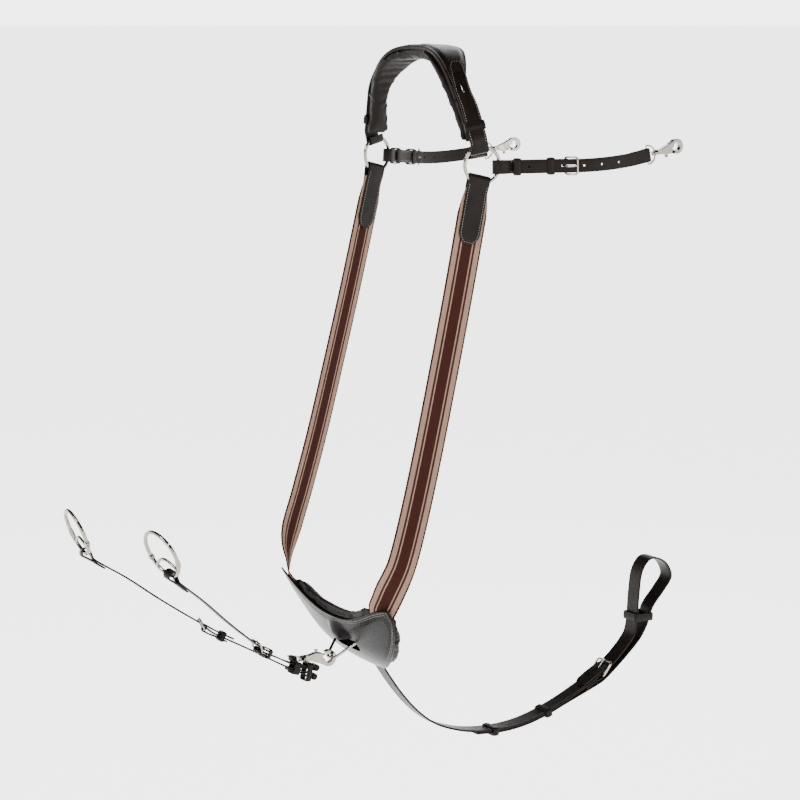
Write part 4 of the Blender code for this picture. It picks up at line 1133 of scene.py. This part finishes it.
def tab(label):
    place = ring_frame(-WEB_LEAN)
    low = -fold_height(TAB_WIDTH / 2)
    rest = WEB_THICK / 2 + GAP + LEATHER / 2
    depths = [100, 94, 86, 74, 60, 46, 36]
    outer_leg = [(0, -y * MM, rest) for y in depths] + [(0, -28 * MM, FOLD - 0.5 * MM)]
    inner_leg = [(x, y, -z) for x, y, z in reversed(outer_leg)]
    line = [place.inverted() @ point for point in elastic_route()[0]]
    centres = []
    for point in outer_leg + fold_points(low, -1) + inner_leg:
        centres.append(place @ (Vector(point) + line_shift(line, point[1])))
    across = place.to_3x3() @ Vector((1, 0, 0))
    strap = Strap(label, centres, [across] * len(centres), TAB_WIDTH, LEATHER, tips=(17 * MM, 17 * MM))
    strap.stand_for(label + "_elastic_tab", crown=0.15 * MM, crease=0.1 * MM)
    face = outer_face(strap, 0.2, label)
    thread.sew("harness", strap.edge_row(2.4 * MM, 2.4 * MM, 76 * MM, face, round_tip=True))
    thread.sew("harness", strap.edge_row(2.4 * MM, strap.total - 76 * MM, strap.total - 2.4 * MM, face))


def saddle_side(label):
    place = saddle_frame(label)
    bar_at = SADDLE_REACH - 8 * MM
    route = saddle_route(label, bar_at)
    upright = []
    for i in range(len(route)):
        ahead = stride(route, i).normalized()
        upright.append((Vector((0, 1, 0)) - ahead * ahead.y).normalized())
    local, sides = turned_round(route, upright, LEATHER, SNAP_BAR, 4)
    centres = along_route(place, local)
    across = [place.to_3x3() @ side for side in sides]
    strap = Strap(label, centres, across, SADDLE_WIDTH, LEATHER, tips=(10 * MM, 0))
    node = label + "_saddle_strap"
    bar_frame = place @ Matrix.Translation((bar_at, 0, 0))
    tools = [slot_tool(bar_frame, 15 * MM, 1.0 * MM, label)]
    tools += [punch(strap, d * MM, 1.35 * MM) for d in SADDLE_HOLES]
    strap.stand_for(node, tools)
    owner = BODY_OF[node]
    strap.sew_faces(owner, 2.1 * MM, strap.total - 24 * MM, strap.total - 3 * MM)
    soft_copy(label + "_saddle_chape", DARK, 0.45 * MM)
    for level in (1, -1):
        up = place.to_3x3() @ Vector((0, 0, level))
        for y in (-6.2 * MM, 6.2 * MM):
            height = level * (CHAPE_LEATHER + FACE_LIFT)
            row = [place @ Vector((13 * MM + (bar_at - 23 * MM) * k / 39, y, height)) for k in range(40)]
            thread.sew(owner, [[(point, mirrored(label, [up])[0]) for point in mirrored(label, row)]])
    low = -CHAPE_LEATHER - GAP
    high = STRAP_LEVEL + LEATHER / 2 + GAP
    for part, at in (("front", 22 * MM), ("rear", 64 * MM)):
        band_place = place @ Matrix.Translation((at, 0, 0))
        keeper(label + "_saddle_keeper_" + part, label, band_place, SADDLE_WIDTH / 2 + GAP + 0.2 * MM,
               low, high, 9 * MM)


# ---- breast plate
def dome(a, b):
    """Moulded hood over the dee's strap."""
    reach = hypot(a / HOOD_HALVES[0], (b - HOOD_AT) / HOOD_HALVES[1])
    return HOOD_RISE * (1 - smooth(reach, 0.15, 1.15))


def plate_face(share, b):
    top, bottom = plate_edges(share)
    to_edge = min(b - top, bottom - b, PLATE_HALF * (1 - abs(share)))
    puff = 1.0 * MM * smooth(to_edge, 5 * MM, 14 * MM)
    return dome(share * PLATE_HALF, b) + puff - edge_drop(to_edge, depth=0.3 * MM)


def plate_cover():
    shares = dense_shares(2 * PLATE_HALF, 110)
    lower = LAYER_MIDDLE + PLATE_SPACE / 2
    upper = lower + COVER_THICK
    top, low = [], []
    for share in shares:
        x = 2 * share - 1
        start, end = plate_edges(x)
        row_top, row_low = [], []
        for level in dense_shares(end - start, 44):
            b = start + (end - start) * level
            a = x * PLATE_HALF
            row_top.append(plate_point(a, b, upper + plate_face(x, b)))
            row_low.append(plate_point(a, b, lower + dome(a, b)))
        top.append(row_top)
        low.append(row_low)
    item = shell("breast_plate_cover_look", top, low, GLOSS)
    window = axes(plate_point(0, WINDOW_AT, 6 * MM), (1, 0, 0), PLATE_DOWN)
    outline = rounded_box(*WINDOW, 6)
    body = loft([[(x, y, z) for x, y in outline] for z in (-12 * MM, 16 * MM)])
    cut(item, [tool_object("window", body, window)])
    belongs(item, "breast_plate_cover")
    for inset in (3.3, 5.9):
        line = []
        for side in (0, 1):
            reach = 0.97 - (inset - 3.3) * 0.012
            for k in range(181):
                share = (-reach + 2 * reach * k / 180) * (1 if side == 0 else -1)
                start, end = plate_edges(share)
                b = start + inset * MM if side == 0 else end - inset * MM
                if end - start < 2 * inset * MM:
                    continue
                spot = (share * PLATE_HALF, b, upper + plate_face(share, b) + STITCH_LIFT)
                up = (plate_point(*spot) - plate_point(*spot[:2], spot[2] - MM)).normalized()
                line.append((plate_point(*spot), up))
        thread.sew("breast", [line + line[:1]], 3.2 * MM)


# ---- fork
def fork_end_keeper():
    place = axes(Vector((0, -183.5, -781)) * MM, (0, -12, 2.6), (1, 0, 0))
    if place.to_3x3().col[2].z < 0:
        place = axes(place.translation, (0, -12, 2.6), (-1, 0, 0))
    keeper("fork_end_keeper", "near", place, FORK_WIDTH / 2 + 0.6 * MM, -13.2 * MM, 7.9 * MM, 8 * MM)


def roll_core(label, place):
    """Rolled leather that fills a fork strap's curled end."""
    body = bmesh.new()
    bmesh.ops.create_cone(body, cap_ends=True, segments=28, radius1=2.25 * MM, radius2=2.25 * MM,
                          depth=FORK_WIDTH - 0.7 * MM, matrix=place @ Matrix.Rotation(pi / 2, 4, "X"))
    trim(new_piece(label + "_roll_core", body, DARK), label + "_fork_strap")


def fork_branch(label):
    bar = Vector(FORK_BUCKLE[label]) * MM
    ring = rein_frame(label)
    ring_bar = ring @ Vector((0, -REIN_RING_RADIUS + 0.4 * MM, 0))
    bundle = [Vector((0, y, z - 1.4)) * MM for y, z in BUNDLE[label]]
    toward = (ring_bar - bar).normalized()
    middle = (bundle[-1] + bar) / 2 - toward * 2 * MM
    guide = bundle + [middle, bar - toward * 8 * MM, bar]
    route = hermite_route(guide, 20)
    centres, across = turned_round(route, acrosses_of(route), FORK_LEATHER, FORK_BAR, 4)
    curl = 3.4 * MM
    ahead = (centres[0] - centres[1]).normalized()
    down = ahead.cross(Vector((1, 0, 0)))
    down = down if down.z < 0 else -down
    rolled = []
    for i in range(1, TURN_STEPS + 1):
        angle = pi * i / TURN_STEPS
        rolled.append(centres[0] + down * curl * (1 - cos(angle)) + ahead * curl * sin(angle))
    for i, gap in ((1, 5.0), (2, 3.2), (3, 2.7), (4, 2.7), (5, 2.7)):
        rolled.append(centres[i] + down * gap * MM)
    roll_core(label, axes(centres[0] + down * curl, ahead, across[0]))
    centres = rolled[::-1] + centres
    across = [across[0]] * len(rolled) + across
    place = axes(bar, toward, across_of(toward))
    strap = Strap(label, centres, across, FORK_WIDTH, FORK_LEATHER, step=1.2 * MM)
    strap.stand_for(label + "_fork_strap", [slot_tool(place, 13 * MM, 0.8 * MM, label)], crease=0.09 * MM)
    strap.sew_faces("fork", 1.7 * MM, strap.total - 22 * MM, strap.total - 3 * MM, *FORK_STITCH)
    rein_strap(label, place, ring, ring_bar, route)


def rein_strap(label, place, ring, ring_bar, fork_route):
    leather = FORK_LEATHER
    level = FORK_BAR + BAR_ROOM + leather + GAP + leather / 2
    rest = leather / 2 + GAP
    up = place.to_3x3() @ Vector((0, 0, 1))
    toward = place.to_3x3() @ Vector((1, 0, 0))
    bar = place.translation
    guide = []
    for index in (-6, -4):
        guide.append(fork_route[index] + up * (leather + 2 * GAP + leather / 2))
    guide += [bar - toward * 5 * MM + up * (level - rest), bar + up * (level - rest + 0.2 * MM)]
    guide.append(bar + toward * 11 * MM + up * (level - rest - 1.5 * MM))
    start = bar + toward * 30 * MM
    guide += [start.lerp(ring_bar, 0.25), start.lerp(ring_bar, 0.6)]
    arrive = ring.to_3x3() @ Vector((0, 0.35, 0)) + toward * 0.65
    guide += [ring_bar - arrive.normalized() * 14 * MM, ring_bar]
    route = hermite_route(guide, 34)
    centres, across = turned_round(route, acrosses_of(route), leather, REIN_RING_WIRE + 1.6 * MM, 5)
    strap = Strap(label, centres, across, FORK_WIDTH, leather, tips=(8 * MM, 0), step=1.2 * MM)
    tools = [slot_tool(place, 13 * MM, 0.8 * MM, label)]
    tools += [punch(strap, d * MM, 1.2 * MM) for d in REIN_HOLES]
    strap.stand_for(label + "_rein_strap", tools, crease=0.09 * MM)
    strap.sew_faces("fork", 1.7 * MM, strap.total - 24 * MM, strap.total - 3 * MM, *FORK_STITCH)
    spot = fork_route[-4]
    way = fork_route[-3] - fork_route[-5]
    keeper(label + "_fork_keeper", label, axes(spot, way, across_of(way)), FORK_WIDTH / 2 + 0.6 * MM,
           -rest - leather / 2 - GAP, 2 * leather + 3.4 * GAP + 1.8 * MM, 7 * MM)


# ---- girth strap
def girth():
    leather = LEATHER
    route = girth_route()
    side = Vector((-1, 0, 0))
    centres, across = turned_round(route, [side] * len(route), leather, GIRTH_BAR, 3)
    strap = Strap("near", centres, across, GIRTH_WIDTH, leather)
    toward = (route[-1] - route[-2]).normalized()
    place = axes(route[-1], toward, side)
    strap.stand_for("girth_strap", [slot_tool(place, 20 * MM, 1.1 * MM)])
    strap.sew_faces("girth", 2.3 * MM, strap.total - 24 * MM, strap.total - 3 * MM)
    strap.sew_faces("girth", 2.3 * MM, 14 * MM, strap.total - 60 * MM)
    up = place.to_3x3() @ Vector((0, 0, 1))
    level = GIRTH_BAR + BAR_ROOM + leather + GAP + leather / 2
    rest = leather / 2 + GAP
    guide = []
    for index in (22, 26, 30, 34, 37):
        out = stride(route, index).normalized().cross(side).normalized()
        guide.append(route[index] - out * (leather / 2 + GAP))
    bar = place.translation
    guide.append(bar - toward * 12 * MM - up * (level + 0.5 * MM))
    guide.append(bar + toward * 6 * MM - up * (level + 0.5 * MM))
    guide += [Vector((0, y, z)) * MM for y, z in GIRTH_LOOP]
    guide += [bar + toward * 24 * MM + up * (level - 1.0 * MM), bar + toward * 8 * MM + up * level,
              bar - toward * 8 * MM + up * level, bar - toward * 34 * MM + up * (leather + GAP + rest)]
    centres = hermite_route(guide, 74)
    loop = Strap("near", centres, [side] * len(centres), GIRTH_WIDTH, leather, tips=(0, 13 * MM))
    tools = [slot_tool(place, 20 * MM, 1.1 * MM)]
    tools += [punch(loop, loop.total - d * MM) for d in GIRTH_HOLES]
    loop.stand_for("girth_loop_strap", tools)
    loop.sew_faces("girth", 2.3 * MM, 2 * MM, 150 * MM)
    for part, index in (("front", 25), ("middle", 34)):
        keeper("girth_keeper_" + part, "near", axes(route[index], stride(route, index), side),
               GIRTH_WIDTH / 2 + 0.6 * MM, -leather * 1.5 - 1.0 * MM, leather + 1.0 * MM, 9 * MM)
    low, high = Vector((0, 344, -786)) * MM, Vector((0, 366, -786)) * MM
    place = axes((low + high) / 2, (0, 0.05, 1), (1, 0, 0))
    half = (high - low).length / 2 + leather / 2 + 2.2 * MM
    keeper("girth_keeper_loop", "near", place, GIRTH_WIDTH / 2 + 0.8 * MM, -half, half, 11 * MM)


# ---- everything else
def smooth_ring(label):
    """Wither ring: a fine torus with the CAD ring's own centre line."""
    place = ring_frame()
    rows = []
    for i in range(RING_STEPS):
        around = 2 * pi * i / RING_STEPS
        row = []
        for k in range(WIRE_STEPS):
            angle = 2 * pi * k / WIRE_STEPS
            reach = RING_MID_RADIUS + RING_WIRE * cos(angle)
            row.append(place @ Vector((reach * cos(around), reach * sin(around),
                                       RING_WIRE * sin(angle))))
        rows.append(row)
    item = new_piece(label + "_wither_ring_look", loft(rows, True, label), NICKEL, 180.0)
    belongs(item, label + "_wither_ring")


def finish_rest():
    """Round off every CAD node that no piece has replaced."""
    for node in sorted(set(NODES) - REPLACED):
        if SLOT_OF[node] == "nickel":
            fine = any(word in node for word in ("tongue", "bolt", "buckle"))
            cast_copy(node, FINE_VOXEL if fine else CAST_VOXEL)
        else:
            soft_copy(node, SKINS[SLOT_OF[node]], 0.5 * MM)


studio(*camera())
WEBBING_SKIN = webbing(WEB_WIDTH)
wither_cover()
badge()
swollen("wither_pad_padding", 3.5 * MM,
        ("wither_pad_cover", "near_neck_billet", "off_neck_billet", "near_neck_keeper", "off_neck_keeper"))
plate_cover()
swollen("breast_plate_padding", 4.0 * MM,
        ("breast_plate_cover", "near_elastic", "off_elastic", "dee_strap", "breast_dee", "girth_strap"))
for side_label in ("near", "off"):
    smooth_ring(side_label)
    billet(side_label)
    elastic(side_label)
    tab(side_label)
    saddle_side(side_label)
    fork_branch(side_label)
fork_end_keeper()
girth()
finish_rest()
thread.finish()
